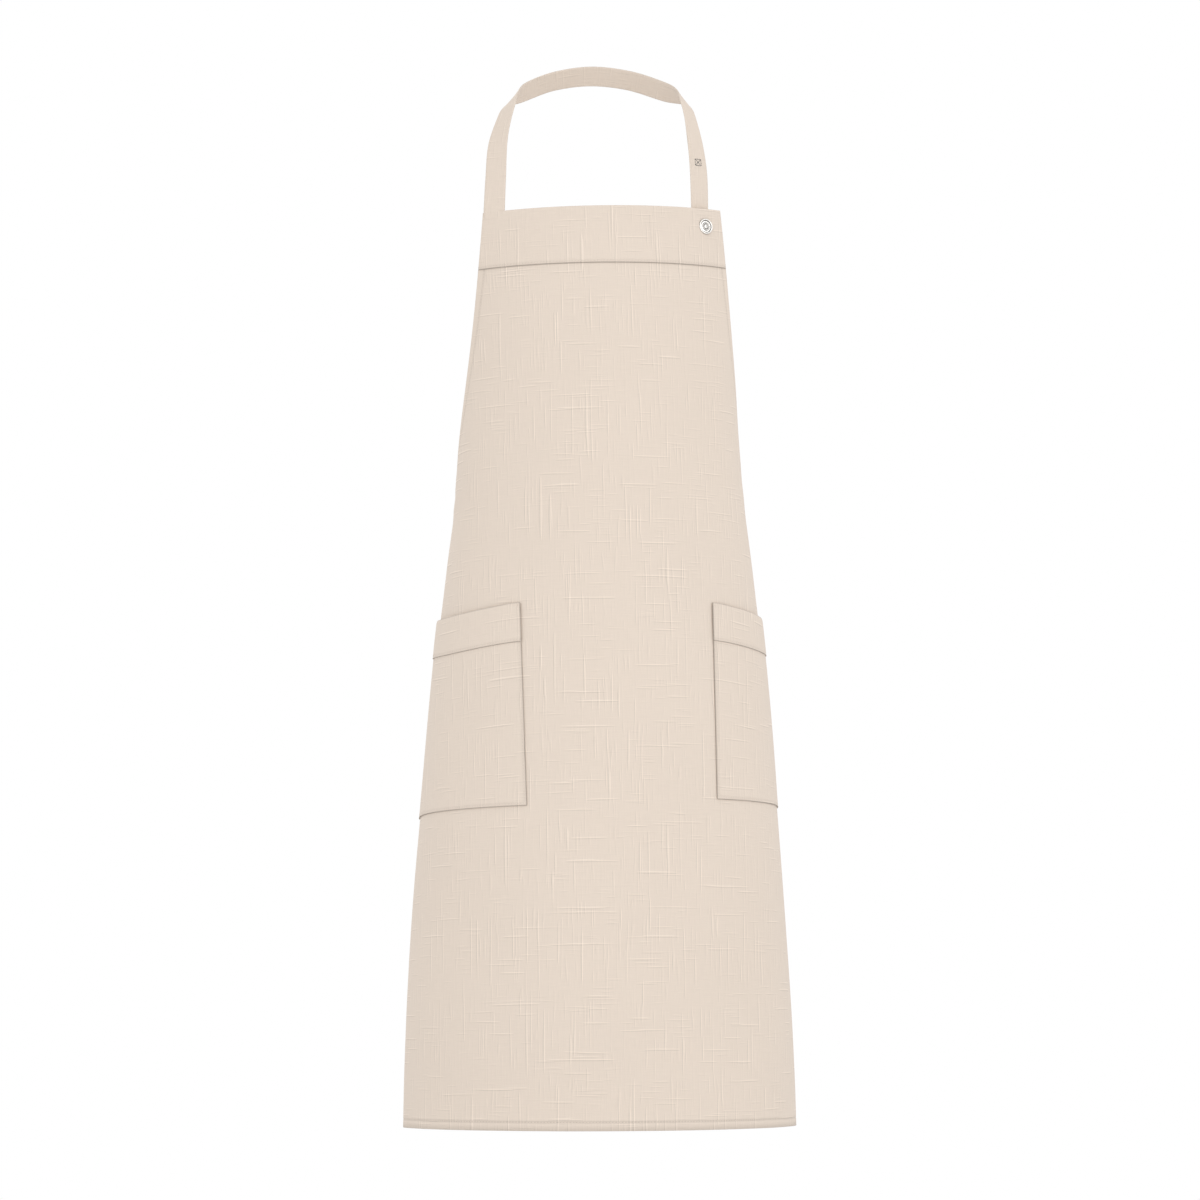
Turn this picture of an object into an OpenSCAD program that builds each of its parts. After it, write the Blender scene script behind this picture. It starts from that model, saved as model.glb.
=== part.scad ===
/* [Apron] */
// Length from the bib's top edge to the hem, down the middle of the front
apron_length = 889; // [880:1:900]
// Flat width of the bib's top edge
bib_width = 254; // [250:1:258]
// Depth below the bib's top edge at which the waist ties are sewn on
waist_depth = 300; // [290:1:310]
// Flat width at the waist, from one tie to the other
waist_width = 600; // [590:1:610]
// Flat width at the hem
hem_width = 770; // [760:1:780]
// Depth of the band across the top of the bib
band_depth = 57; // [52:1:62]
// Thickness of the panel's cloth
cloth = 0.8; // [0.6:0.1:1.0]

/* [Worn shape] */
// Half width of the body that the bib's top edge bends round
top_half_width = 144; // [140:1:148]
// Half depth of the body at the bib's top edge
top_half_depth = 92; // [88:1:96]
// Half width of the worn apron at the waist
waist_half_width = 144.8; // [140:0.1:150]
// Half depth of the worn apron at the waist
waist_half_depth = 115; // [110:1:120]
// Half width of the worn apron at the hem
hem_half_width = 194.5; // [190:0.1:198]
// Half depth of the worn apron at the hem
hem_half_depth = 163; // [158:1:168]

/* [Neck strap] */
// Width of the neck strap
strap_width = 22; // [20:1:24]
// Thickness of the strap, two layers of cloth sewn together
strap_thick = 1.2; // [1.0:0.1:1.4]
// Rise of the nape of the strap above the bib's top edge
nape_rise = 142; // [140:1:144]
// How far the nape stands behind the middle of the body
nape_back = 66; // [64:1:68]

/* [Pockets] */
// Distance from the middle of the front to the left pocket, along the cloth
left_pocket_start = 97; // [94:1:100]
// Distance from the middle of the front to the right pocket, along the cloth
right_pocket_start = 100; // [97:1:103]
// Width of a pocket along the cloth
pocket_width = 186; // [170:1:190]
// Depth of the pocket mouth below the bib's top edge
pocket_top = 388; // [384:1:392]
// Depth of the left pocket's bottom seam below the bib's top edge
left_pocket_bottom = 580; // [574:1:584]
// Depth of the right pocket's bottom seam below the bib's top edge
right_pocket_bottom = 574; // [570:1:584]
// Depth of the band along a pocket's mouth
pocket_band = 37; // [34:1:40]
// How far the middle of a pocket's mouth stands off the panel
pocket_gape = 8; // [7:0.5:9]

/* [Waist ties] */
// Width of a waist tie
tie_width = 25; // [22:1:28]
// Length of a bow loop from the knot to its far end
loop_length = 88; // [80:1:95]
// Length of a tie's tail below the knot
tail_length = 265; // [240:1:290]

/* [Press stud] */
// Diameter of the cap on the front of the bib
cap_d = 15.2; // [14:0.1:16]
// Diameter of the stud's ball, which snaps into the socket
ball_d = 5.6; // [5:0.1:6]
// Distance between one stud and the next on the strap's tail
stud_pitch = 25; // [22:1:28]

/* [Hidden] */

linen = "#E6D9CB";
linen_shade = "#DACBBC";
nickel = "#C9C8C5";
steel = "#B4B4B2";
canvas = "#F2EFEA";

// Angle from the middle of the front at which the front arc meets the side arc
front_arc = 40;
// Front of the body at the bib, waist and hem, measured from the body's middle
top_front = -55;
waist_front = -112;
hem_front = -158;
// Room between two layers of cloth
ply_gap = 0.6;
// Tilt of the strap's outer face at the nape
nape_tilt = 28;
// Middle of the strap's inner face at the nape, where the loop bears: the part's origin
bearing = [
    0,
    nape_back - strap_thick / 2 * cos(nape_tilt),
    nape_rise - strap_thick / 2 * sin(nape_tilt)
];

function mix(a, b, t) = a + (b - a) * t;
function clamp01(t) = min(1, max(0, t));

// How far down the skirt a height lies, eased so that the hips fill out first
function skirt(h) = let (u = (h - waist_depth) / (apron_length - waist_depth)) u * (1.68 - 0.68 * u);
// How far up the bib a height lies
function bib(h) = 1 - h / waist_depth;

// [half width, half depth, front] of the worn section at a depth h below the bib's top edge
function section(h) = h >= waist_depth
    ? [
        mix(waist_half_width, hem_half_width, skirt(h)),
        mix(waist_half_depth, hem_half_depth, skirt(h)),
        mix(waist_front, hem_front, skirt(h))
    ]
    : [
        mix(waist_half_width, top_half_width, bib(h)) - 30 * bib(h) * (1 - bib(h)),
        mix(waist_half_depth, top_half_depth, bib(h)),
        mix(waist_front, top_front, bib(h) * (0.75 + 0.25 * bib(h)))
    ];

// [front radius, side radius] of the two arcs that reach a half width and a half depth
function arc_radii(a, b) = let (
    sn = sin(front_arc),
    cs = cos(front_arc),
    det = sn * cs - (1 - sn) * (1 - cs)
) [(cs * a - (1 - sn) * b) / det, (sn * b - (1 - cs) * a) / det];

// Half of the way round a section, from the middle of the front to the middle of the back
function half_round(h) = let (sec = section(h), r = arc_radii(sec[0], sec[1]))
    (2 * front_arc * r[0] + (180 - 2 * front_arc) * r[1]) * PI / 180;

// [x, y, heading] on a section, at arc length s >= 0 from the middle of the front
function on_section(s, h) = let (
    sec = section(h),
    r = arc_radii(sec[0], sec[1]),
    s1 = r[0] * front_arc * PI / 180,
    s2 = r[1] * (180 - 2 * front_arc) * PI / 180,
    side_x = (r[0] - r[1]) * sin(front_arc),
    side_y = sec[2] + (r[0] - r[1]) * (1 - cos(front_arc)) + r[1]
) s <= s1
    ? let (a = s / r[0] * 180 / PI) [r[0] * sin(a), sec[2] + r[0] * (1 - cos(a)), a]
    : s <= s1 + s2
    ? let (a = front_arc + (s - s1) / r[1] * 180 / PI) [side_x + r[1] * sin(a), side_y - r[1] * cos(a), a]
    : let (a = 180 - front_arc + (s - s1 - s2) / r[0] * 180 / PI)
        [r[0] * sin(a), sec[2] + 2 * sec[1] - r[0] * (1 + cos(a)), a];

// How fast the cloth droops away from the middle of the front
function droop(h) = 0.00013 + 0.0002 * clamp01((h - 60) / 340) - 0.0003 * max(0, h - 600) / 1000;

// A point of the cloth at arc length s from the middle, depth h, lifted off the body by lift
function worn(s, h, lift) = let (
    side = s < 0 ? -1 : 1,
    p = on_section(abs(s), h)
) [
    side * (p[0] + lift * sin(p[2])),
    p[1] - lift * cos(p[2]),
    -h - droop(h) * s * s
] - bearing;

// Flat half width of the panel at depth h: a hollow armhole edge, then a straight flare
function panel_edge(h) = h >= waist_depth
    ? mix(waist_width, hem_width, (h - waist_depth) / (apron_length - waist_depth)) / 2
    : let (t = clamp01(h / waist_depth))
        mix(bib_width, waist_width, 0.25 * t + 0.75 * (1 - sqrt(1 - pow(t, 2.6)))) / 2;

// Depths of the panel's rows, closer together where the armhole edge turns out to the waist
armhole_rows = 14;
skirt_rows = 22;
function armhole_row(j) = waist_depth * pow(sin(90 * j / armhole_rows), 2 / 2.6);
panel_top = band_depth - 7;
panel_rows = concat(
    [panel_top],
    [for (j = [0:armhole_rows - 1]) if (armhole_row(j) > panel_top + 3) armhole_row(j)],
    [for (j = [0:skirt_rows]) mix(waist_depth, apron_length, j / skirt_rows)]
);

// Faces of a closed solid whose points are two grids of rows x cols, outer first
function grid_faces(rows, cols) = let (
    n = rows * cols,
    at = function(i, j) i * cols + j
) concat(
    [for (i = [0:rows - 2], j = [0:cols - 2], k = [0, 1])
        k == 0 ? [at(i, j), at(i + 1, j), at(i, j + 1)] : [at(i, j + 1), at(i + 1, j), at(i + 1, j + 1)]],
    [for (i = [0:rows - 2], j = [0:cols - 2], k = [0, 1])
        k == 0
        ? [n + at(i, j), n + at(i, j + 1), n + at(i + 1, j)]
        : [n + at(i, j + 1), n + at(i + 1, j + 1), n + at(i + 1, j)]],
    [for (i = [0:rows - 2], e = [0, cols - 1], k = [0, 1]) let (
        a = at(e == 0 ? i + 1 : i, e),
        b = at(e == 0 ? i : i + 1, e)
    ) k == 0 ? [a, b, n + b] : [a, n + b, n + a]],
    [for (j = [0:cols - 2], e = [0, rows - 1], k = [0, 1]) let (
        a = at(e, e == 0 ? j : j + 1),
        b = at(e, e == 0 ? j + 1 : j)
    ) k == 0 ? [a, b, n + b] : [a, n + b, n + a]]
);

// A layer of cloth on the body: one row of columns for each depth in rows
module layer(rows, cols, left, right, inner, outer, lift = function(u, v) 0) {
    last = len(rows) - 1;
    grid = function(side) [
        for (i = [0:last], j = [0:cols - 1]) let (
            u = j / (cols - 1),
            s = mix(left(rows[i]), right(rows[i]), u)
        ) worn(s, rows[i], side + lift(u, i / last))
    ];
    polyhedron(concat(grid(outer), grid(inner)), grid_faces(last + 1, cols), convexity = 6);
}

function even(from, to, steps) = [for (k = [0:steps]) mix(from, to, k / steps)];

module front_panel() {
    color(linen)
        layer(panel_rows, 45, function(h) -panel_edge(h), function(h) panel_edge(h), 0, cloth);
}

band_outer = 2 * cloth + ply_gap;
module bib_band() {
    color(linen)
        layer(
            even(0, band_depth, 4), 21,
            function(h) -panel_edge(h), function(h) panel_edge(h),
            cloth + ply_gap, band_outer
        );
}

facing_inner = -3;
module bib_facing() {
    color(linen_shade)
        layer(
            even(0, band_depth, 4), 21,
            function(h) -panel_edge(h), function(h) panel_edge(h),
            facing_inner, facing_inner + cloth
        );
}

strap_seat = bib_width / 2 - strap_width / 2 - 1;
module bib_interfacing() {
    color(canvas)
        layer(
            even(3, panel_top - 2, 3), 19,
            function(h) -strap_seat + strap_width / 2 + 2, function(h) panel_edge(h) - 2,
            -1.4, -0.8
        );
}

// A pocket lies flat along its sides and its bottom, and stands open at its mouth
function gape(u, v) = pocket_gape * pow(sin(180 * u), 0.7) * cos(90 * v);

module pocket_patch(side, start, bottom) {
    from = side > 0 ? start : -start - pocket_width;
    color(linen)
        layer(
            even(pocket_top, bottom, 9), 17,
            function(h) from, function(h) from + pocket_width,
            cloth + ply_gap, 2 * cloth + ply_gap,
            function(u, v) gape(u, v)
        );
}

module pocket_top_band(side, start, bottom) {
    from = side > 0 ? start : -start - pocket_width;
    share = pocket_band / (bottom - pocket_top);
    color(linen_shade)
        layer(
            even(pocket_top - 1, pocket_top + pocket_band, 3), 17,
            function(h) from - 0.5, function(h) from + pocket_width + 0.5,
            2 * (cloth + ply_gap), 3 * cloth + 2 * ply_gap - 0.1,
            function(u, v) gape(u, v * share)
        );
}

module left_pocket() {
    pocket_patch(-1, left_pocket_start, left_pocket_bottom);
}
module left_pocket_band() {
    pocket_top_band(-1, left_pocket_start, left_pocket_bottom);
}
module right_pocket() {
    pocket_patch(1, right_pocket_start, right_pocket_bottom);
}
module right_pocket_band() {
    pocket_top_band(1, right_pocket_start, right_pocket_bottom);
}

// Half of the neck loop: [point, heading of its outer face, tilt of that face, inward shift of
// the right leg, which leads to the press stud and not to the bib's corner]
strap_route = [
    [[107, -20, 0], 28, 8, 9.5],
    [[105.5, -16, 30], 30, 10, 9.5],
    [[102.5, -9, 60], 38, 16, 8.5],
    [[93, 4, 90], 60, 24, 2],
    [[77, 24, 116], 108, 24, 0],
    [[44, 50, 134], 152, 26, 0],
    [[0, nape_back, nape_rise], 180, nape_tilt, 0]
];
route_last = len(strap_route) - 1;

// The route on one side, continued past its ends, so that the curve is smooth at the nape
function route_at(i, x_side) = i < 0
    ? 2 * route_at(0, x_side) - route_at(1, x_side)
    : i > route_last
    ? let (p = route_at(2 * route_last - i, x_side)) [-p[0], p[1], p[2]]
    : strap_route[i][0] - [x_side > 0 ? strap_route[i][3] : 0, 0, 0];

// A point of the curve through the route, its direction and its face, at 0 <= t <= 1
function curve(t, x_side) = let (
    i = min(floor(t * route_last), route_last - 1),
    u = t * route_last - i,
    p1 = route_at(i, x_side),
    p2 = route_at(i + 1, x_side),
    m1 = (p2 - route_at(i - 1, x_side)) / 2,
    m2 = (route_at(i + 2, x_side) - p1) / 2
) [
    (2 * pow(u, 3) - 3 * u * u + 1) * p1 + (pow(u, 3) - 2 * u * u + u) * m1
        + (3 * u * u - 2 * pow(u, 3)) * p2 + (pow(u, 3) - u * u) * m2,
    (6 * u * u - 6 * u) * p1 + (3 * u * u - 4 * u + 1) * m1
        + (6 * u - 6 * u * u) * p2 + (3 * u * u - 2 * u) * m2,
    mix(strap_route[i][1], strap_route[i + 1][1], u),
    mix(strap_route[i][2], strap_route[i + 1][2], u)
];

function unit(v) = v / norm(v);

// The four corners of the strap's cross section at t, on the side that x_side names
function strap_corners(t, x_side) = let (
    c = curve(t, x_side),
    along = unit([x_side * c[1][0], c[1][1], c[1][2]]),
    face = [x_side * sin(c[2]) * cos(c[3]), -cos(c[2]) * cos(c[3]), sin(c[3])],
    out = unit(face - (face * along) * along),
    across = cross(along, out),
    mid = [x_side * c[0][0], c[0][1], c[0][2]] - bearing
) [for (k = [[1, 1], [1, -1], [-1, -1], [-1, 1]])
    mid + x_side * k[0] * across * strap_width / 2 + k[1] * out * strap_thick / 2];

// Faces of a closed tube of four-cornered rings
function tube_faces(rings) = concat(
    [for (i = [0:rings - 2], k = [0:3], e = [0, 1]) let (
        a = 4 * i + k,
        b = 4 * i + (k + 1) % 4
    ) e == 0 ? [a, b, b + 4] : [a, b + 4, a + 4]],
    [[3, 2, 1], [3, 1, 0]],
    [let (n = 4 * (rings - 1)) [n, n + 1, n + 2], let (n = 4 * (rings - 1)) [n, n + 2, n + 3]]
);

module ribbon(corners) {
    polyhedron([for (ring = corners) each ring], tube_faces(len(corners)), convexity = 6);
}

// Where the loop leaves off above the bib, so that the panel can swing below it
loop_start = 0.1;
half_rings = 26;
module neck_strap() {
    rise = [for (k = [0:half_rings]) strap_corners(mix(loop_start, 1, k / half_rings), -1)];
    fall = [for (k = [1:half_rings]) strap_corners(mix(1, loop_start, k / half_rings), 1)];
    color(linen)
        ribbon(concat(rise, fall));
}

// The strap's two ends: [arc length, depth, lift] of the middle of the strap
sewn_end_route = [[-115, -11, -0.9], [-115, 0, -0.9], [-115.5, 20, -0.9], [-116, 44, -0.9]];
tail_route = [
    [102.5, -11, -6.6], [103.4, -2, -8.6], [105, 18, -8.6], [107, 43, -8.6], [109, 68, -8.6], [110, 80, -8.6]
];

module strap_on_bib(route) {
    color(linen)
        ribbon([for (p = route) let (
            a = worn(p[0] - strap_width / 2, p[1], p[2]),
            b = worn(p[0] + strap_width / 2, p[1], p[2]),
            c = worn(p[0] + strap_width / 2, p[1], p[2] + strap_thick),
            d = worn(p[0] - strap_width / 2, p[1], p[2] + strap_thick)
        ) [a, d, c, b]]);
}

module strap_sewn_end() {
    strap_on_bib([for (p = sewn_end_route) [p[0], p[1], p[2] - strap_thick / 2]]);
}

module strap_tail() {
    strap_on_bib(tail_route);
}

// The press stud's place: arc length and depth on the bib
stud_s = 105;
stud_h = 18;
// How far the tail leans outwards for each millimetre that it runs down
tail_lean = 0.08;

// Stands its children on the bib at a level lift off the body, their +Z along the bib's normal
module at_stud(lift, down = 0) {
    s = stud_s + down * tail_lean;
    h = stud_h + down;
    seat = worn(s, h, 0);
    right = unit(worn(s + 1, h, 0) - worn(s - 1, h, 0));
    up = unit(worn(s, h - 1, 0) - worn(s, h + 1, 0));
    out = unit(cross(right, up));
    top = cross(out, right);
    place = seat + out * lift * (out * (worn(s, h, 1) - seat));
    multmatrix([for (k = [0:2]) [right[k], top[k], out[k], place[k]]])
        children();
}

module ring_of(points) {
    rotate_extrude($fn = 48)
        polygon(points);
}

module press_stud_cap() {
    r = cap_d / 2;
    color(nickel)
        at_stud(band_outer + 0.25) {
            ring_of([
                [0, 0], [r - 0.3, 0], [r, 0.4], [r - 0.1, 1.1], [r - 0.9, 1.6], [r - 1.7, 1.5],
                [r - 2.3, 0.9], [r - 3.6, 0.8], [2.4, 1.0], [1.6, 1.5], [0, 1.7]
            ]);
        }
}

module press_stud_socket() {
    r = 5.6;
    color(steel)
        at_stud(facing_inner - 0.3)
        rotate([180, 0, 0])
        ring_of([
            [ball_d / 2 + 0.25, 0.7], [ball_d / 2 + 0.1, 2.2], [ball_d / 2 + 0.6, 2.8],
            [r - 1.2, 2.8], [r - 0.4, 1.5], [r, 0.7], [r, 0], [0, 0], [0, 0.7]
        ]);
}

// The strap is flat across, so its middle lies a little further in than its edges
stud_face = tail_route[2][2] + strap_thick;
post_face = stud_face - strap_thick - 0.65;
module stud_shape() {
    r = 5.2;
    ring_of([
        [0, 0], [r, 0], [r, 0.4], [r - 1, 0.8], [ball_d / 2 - 0.5, 0.9],
        [ball_d / 2 - 0.7, 1.5], [ball_d / 2, 2.3], [ball_d / 2 - 0.6, 2.9], [0, 3.0]
    ]);
}

module post_shape() {
    r = 5.2;
    rotate([180, 0, 0])
        ring_of([[0, 0], [r, 0], [r, 0.3], [r - 0.6, 0.8], [2, 1.0], [1.2, 0.6], [0, 0.6]]);
}

module press_stud() {
    color(nickel)
        at_stud(stud_face)
        stud_shape();
}

module press_stud_post() {
    color(steel)
        at_stud(post_face)
        post_shape();
}

module spare_studs() {
    color(nickel)
        for (k = [1, 2])
            at_stud(stud_face, k * stud_pitch)
            stud_shape();
}

module spare_stud_posts() {
    color(steel)
        for (k = [1, 2])
            at_stud(post_face, k * stud_pitch)
            post_shape();
}

// The ties run round the body at this depth, from the panel's corners to the knot
tie_depth = waist_depth + 14;
tie_sewn = waist_width / 2 - 22;
// Room that each tie leaves for its half of the knot
knot_room = 16;
tie_drop = 8;
knot_z = -tie_depth - droop(tie_depth) * pow(tie_sewn, 2) - tie_drop;
back_y = section(tie_depth)[2] + 2 * section(tie_depth)[1];

module waist_tie(side) {
    steps = 16;
    inner = -2 * ply_gap - strap_thick;
    color(linen)
        ribbon([for (k = [0:steps]) let (
            z = mix(knot_z + tie_drop, knot_z, pow(k / steps, 2))
        ) [for (c = [[inner, 1], [inner + strap_thick, 1], [inner + strap_thick, -1], [inner, -1]]) let (
            rise = side * c[1] * tie_width / 2,
            h = tie_depth - rise,
            p = on_section(mix(tie_sewn, half_round(h) - knot_room, k / steps), h)
        ) [side * (p[0] + c[0] * sin(p[2])), p[1] - c[0] * cos(p[2]), z + rise] - bearing]]);
}

module left_waist_tie() {
    waist_tie(-1);
}
module right_waist_tie() {
    waist_tie(1);
}

knot_half = 14;
knot_deep = 9;
module bow_knot() {
    color(linen_shade)
        translate([0, back_y + 2, knot_z] - bearing)
        rotate([90, 0, 0])
        linear_extrude(2 * knot_deep, center = true)
        polygon([for (a = [0:15:345])
            [knot_half * pow(abs(cos(a)), 0.6) * sign(cos(a)), 13 * pow(abs(sin(a)), 0.6) * sign(sin(a))]]);
}

// Outline of a bow loop seen from above: a drop that starts at the knot
loop_fat = 13;
function drop_outline(inset) = [for (a = [0:12:348]) [
    mix(inset, loop_length - inset, (1 - cos(a)) / 2),
    (loop_fat - inset) * sin(a) * pow(sin(a / 2), 1.2)
]];

module bow_loop(side) {
    sag = 32;
    color(linen)
        translate([side * (knot_half + 1), back_y + 5, knot_z] - bearing)
        multmatrix([[side * cos(sag), 0, 0, 0], [0, 1, 0, 0], [-sin(sag), 0, 1, 0]])
        linear_extrude(tie_width, center = true)
        difference() {
            polygon(drop_outline(0));
            polygon(drop_outline(2));
        }
}

module left_bow_loop() {
    bow_loop(-1);
}
module right_bow_loop() {
    bow_loop(1);
}

tail_top = knot_z - 15;
tail_y = back_y + 1;
// A tail is gathered where it leaves the knot, and fans out to its full width below
function fan(t) = min(1, 0.5 + 3.3 * t);

module tie_tail(x, lean) {
    steps = 12;
    color(linen)
        ribbon([for (k = [0:steps]) let (
            t = k / steps,
            y = tail_y + 5 * sin(360 * t),
            z = tail_top - tail_length * t
        ) [for (c = [[-1, -1], [-1, 1], [1, 1], [1, -1]])
            [fan(t) * (x + lean * t + c[0] * tie_width / 2), y + c[1] * strap_thick / 2, z] - bearing]]);
}

module left_tie_tail() {
    tie_tail(-15, -14);
}
module right_tie_tail() {
    tie_tail(15, 12);
}

label_h = 352;
module care_label() {
    color(canvas)
        layer(
            even(label_h, label_h + 38, 2), 4,
            function(h) -panel_edge(h) + 14, function(h) -panel_edge(h) + 44,
            -1.4, -0.8
        );
}

front_panel();
bib_band();
bib_facing();
bib_interfacing();
left_pocket();
left_pocket_band();
right_pocket();
right_pocket_band();
neck_strap();
strap_sewn_end();
strap_tail();
press_stud_cap();
press_stud_socket();
press_stud();
press_stud_post();
spare_studs();
spare_stud_posts();
left_waist_tie();
right_waist_tie();
bow_knot();
left_bow_loop();
right_bow_loop();
left_tie_tail();
right_tie_tail();
care_label();
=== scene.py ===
import math

import bpy
import numpy as np
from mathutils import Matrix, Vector


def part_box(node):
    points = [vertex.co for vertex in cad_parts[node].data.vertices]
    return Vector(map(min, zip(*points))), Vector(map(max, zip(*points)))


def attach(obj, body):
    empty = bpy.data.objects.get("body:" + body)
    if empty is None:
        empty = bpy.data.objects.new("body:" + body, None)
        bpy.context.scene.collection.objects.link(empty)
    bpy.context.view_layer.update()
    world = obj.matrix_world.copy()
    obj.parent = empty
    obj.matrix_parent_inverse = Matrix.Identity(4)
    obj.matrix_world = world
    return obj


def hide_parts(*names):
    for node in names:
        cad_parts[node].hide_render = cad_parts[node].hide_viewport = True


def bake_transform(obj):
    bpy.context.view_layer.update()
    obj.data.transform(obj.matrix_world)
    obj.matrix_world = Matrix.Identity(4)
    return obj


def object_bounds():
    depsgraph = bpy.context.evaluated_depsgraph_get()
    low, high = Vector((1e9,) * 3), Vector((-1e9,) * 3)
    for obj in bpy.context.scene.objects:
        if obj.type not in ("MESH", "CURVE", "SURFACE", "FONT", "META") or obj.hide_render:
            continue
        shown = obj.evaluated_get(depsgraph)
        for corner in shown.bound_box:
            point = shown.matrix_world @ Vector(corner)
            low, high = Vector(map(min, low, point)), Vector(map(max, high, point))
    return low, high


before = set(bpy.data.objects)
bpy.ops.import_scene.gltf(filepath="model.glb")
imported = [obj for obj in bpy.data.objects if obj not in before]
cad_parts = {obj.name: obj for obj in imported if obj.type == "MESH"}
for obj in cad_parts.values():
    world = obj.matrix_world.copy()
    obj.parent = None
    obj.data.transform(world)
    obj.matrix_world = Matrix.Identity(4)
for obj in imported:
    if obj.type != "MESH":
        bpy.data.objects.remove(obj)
cad_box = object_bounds()

# ---------------- driving dimensions, in metres
MM = 0.001
LENGTH = 889 * MM  # bib's top edge to hem, down the middle of the front
BIB_WIDTH = 254 * MM
WAIST = 300 * MM  # depth of the waist below the bib's top edge
TIE_DEPTH = WAIST + 14 * MM  # depth of the middle of the waist ties where they are sewn on
WAIST_WIDTH = 600 * MM
HEM_WIDTH = 770 * MM
BAND = 57 * MM
HEM = 9 * MM
SIDE_HEM = 9 * MM
CLOTH = 0.8 * MM
FRONT_ARC = math.radians(40)
# half width, half depth and front of the worn section at the bib's top, the waist and the hem
TOP_SECTION = (144 * MM, 92 * MM, -55 * MM)
WAIST_SECTION = (144.8 * MM, 115 * MM, -112 * MM)
HEM_SECTION = (194.5 * MM, 163 * MM, -158 * MM)
STRAP_WIDTH = 22 * MM
STRAP_THICK = 1.3 * MM
STRAP_PITCH = 2.8 * MM  # from stitch to stitch on straps and ties
NAPE_TILT = math.radians(28)
NAPE = (66 * MM, 142 * MM)  # y and z of the frame's strap at the nape, in the middle of its cloth
NAPE_HALF_THICK = 0.6 * MM
BEARING = Vector((
    0,
    NAPE[0] - NAPE_HALF_THICK * math.cos(NAPE_TILT),
    NAPE[1] - NAPE_HALF_THICK * math.sin(NAPE_TILT),
))
POCKET_WIDTH = 186 * MM
POCKET_TOP = 388 * MM
POCKETS = {  # side, start from the middle of the front, lean of its sides, bottom, depth of its band
    "left": (-1, 96 * MM, 5 * MM, 580 * MM, 35.5 * MM),
    "right": (1, 100 * MM, 0.0, 574 * MM, 34.5 * MM),
}
POCKET_GAPE = 2.2 * MM  # how far a pocket's mouth stands open in its middle
MOUTH_SAG = 6 * MM  # how far the middle of the mouth hangs below its ends
TIE_WIDTH = 25 * MM
TIE_THICK = 1.3 * MM
TIE_SEAM_IN = 2.2 * MM  # how far in from a tie's edges its stitches run
CAP_D = 15.6 * MM


def mix(a, b, t):
    return a + (b - a) * t


def in_mm(*values):
    """Values in metres from values in millimetres."""
    return [value * MM for value in values]


def clamp01(t):
    return min(1.0, max(0.0, t))


def smooth(a, b, x):
    t = clamp01((x - a) / (b - a))
    return t * t * (3 - 2 * t)


def bell(x, width):
    """1 where x is 0, falling off softly to both sides."""
    return math.exp(-(x / width) ** 2)


# ---------------- the worn surface
def section(h):
    """Half width, half depth and front of the worn apron at depth h below the bib's top edge."""
    if h >= WAIST:
        u = (h - WAIST) / (LENGTH - WAIST)
        u = u * (1.68 - 0.68 * u)
        return [mix(w, b, u) for w, b in zip(WAIST_SECTION, HEM_SECTION)]
    u = 1 - h / WAIST
    a, b, front = (mix(w, t, u) for w, t in zip(WAIST_SECTION, TOP_SECTION))
    a -= 30 * MM * u * (1 - u)
    front = mix(WAIST_SECTION[2], TOP_SECTION[2], u * (0.75 + 0.25 * u))
    return [a, b, front]


def arcs(h):
    """Radii of the front and side arcs at depth h, where the front of the body is, and its half depth."""
    a, b, front = section(h)
    sn, cs = math.sin(FRONT_ARC), math.cos(FRONT_ARC)
    det = sn * cs - (1 - sn) * (1 - cs)
    return (cs * a - (1 - sn) * b) / det, (sn * b - (1 - cs) * a) / det, front, b


def half_round(h):
    """Length of half of the worn section at depth h, from the middle of the front to that of the back."""
    r0, r1 = arcs(h)[:2]
    return 2 * FRONT_ARC * r0 + (math.pi - 2 * FRONT_ARC) * r1


def on_section(s, h):
    """x, y and heading of the outward normal at arc length s >= 0 from the middle of the front."""
    r0, r1, front, b = arcs(h)
    s1 = r0 * FRONT_ARC
    s2 = r1 * (math.pi - 2 * FRONT_ARC)
    if s <= s1:
        a = s / r0
        return r0 * math.sin(a), front + r0 * (1 - math.cos(a)), a
    if s <= s1 + s2:
        a = FRONT_ARC + (s - s1) / r1
        x = (r0 - r1) * math.sin(FRONT_ARC) + r1 * math.sin(a)
        y = front + (r0 - r1) * (1 - math.cos(FRONT_ARC)) + r1 * (1 - math.cos(a))
        return x, y, a
    a = math.pi - FRONT_ARC + (s - s1 - s2) / r0
    return r0 * math.sin(a), front + 2 * b - r0 * (1 + math.cos(a)), a


BIB_DROOP = 0.13  # droop of the cloth at the bib, per metre along it squared
WAIST_DROOP = 0.2  # how much more it droops by a little below the waist
HEM_EASE = 0.3  # how much less again towards the hem, per metre


def droop(h):
    """How fast the cloth droops away from the middle of the front, per metre squared."""
    rate = BIB_DROOP + WAIST_DROOP * clamp01((h - 60 * MM) / (340 * MM))
    return rate - HEM_EASE * max(0.0, h - 600 * MM)


FOLD_SIZE = 7.5 * MM  # swing of the soft folds at the back edges of the hem
FOLD_PITCHES = (118 * MM, 61 * MM)
CALM_SIZE = 0.25 * MM  # the slight waviness that all of the cloth has
CALM_PITCH = 173 * MM
CREASE_SIZE = 1.1 * MM  # the small creases at the corners that the ties hold
CREASE_REACH = 34 * MM


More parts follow.
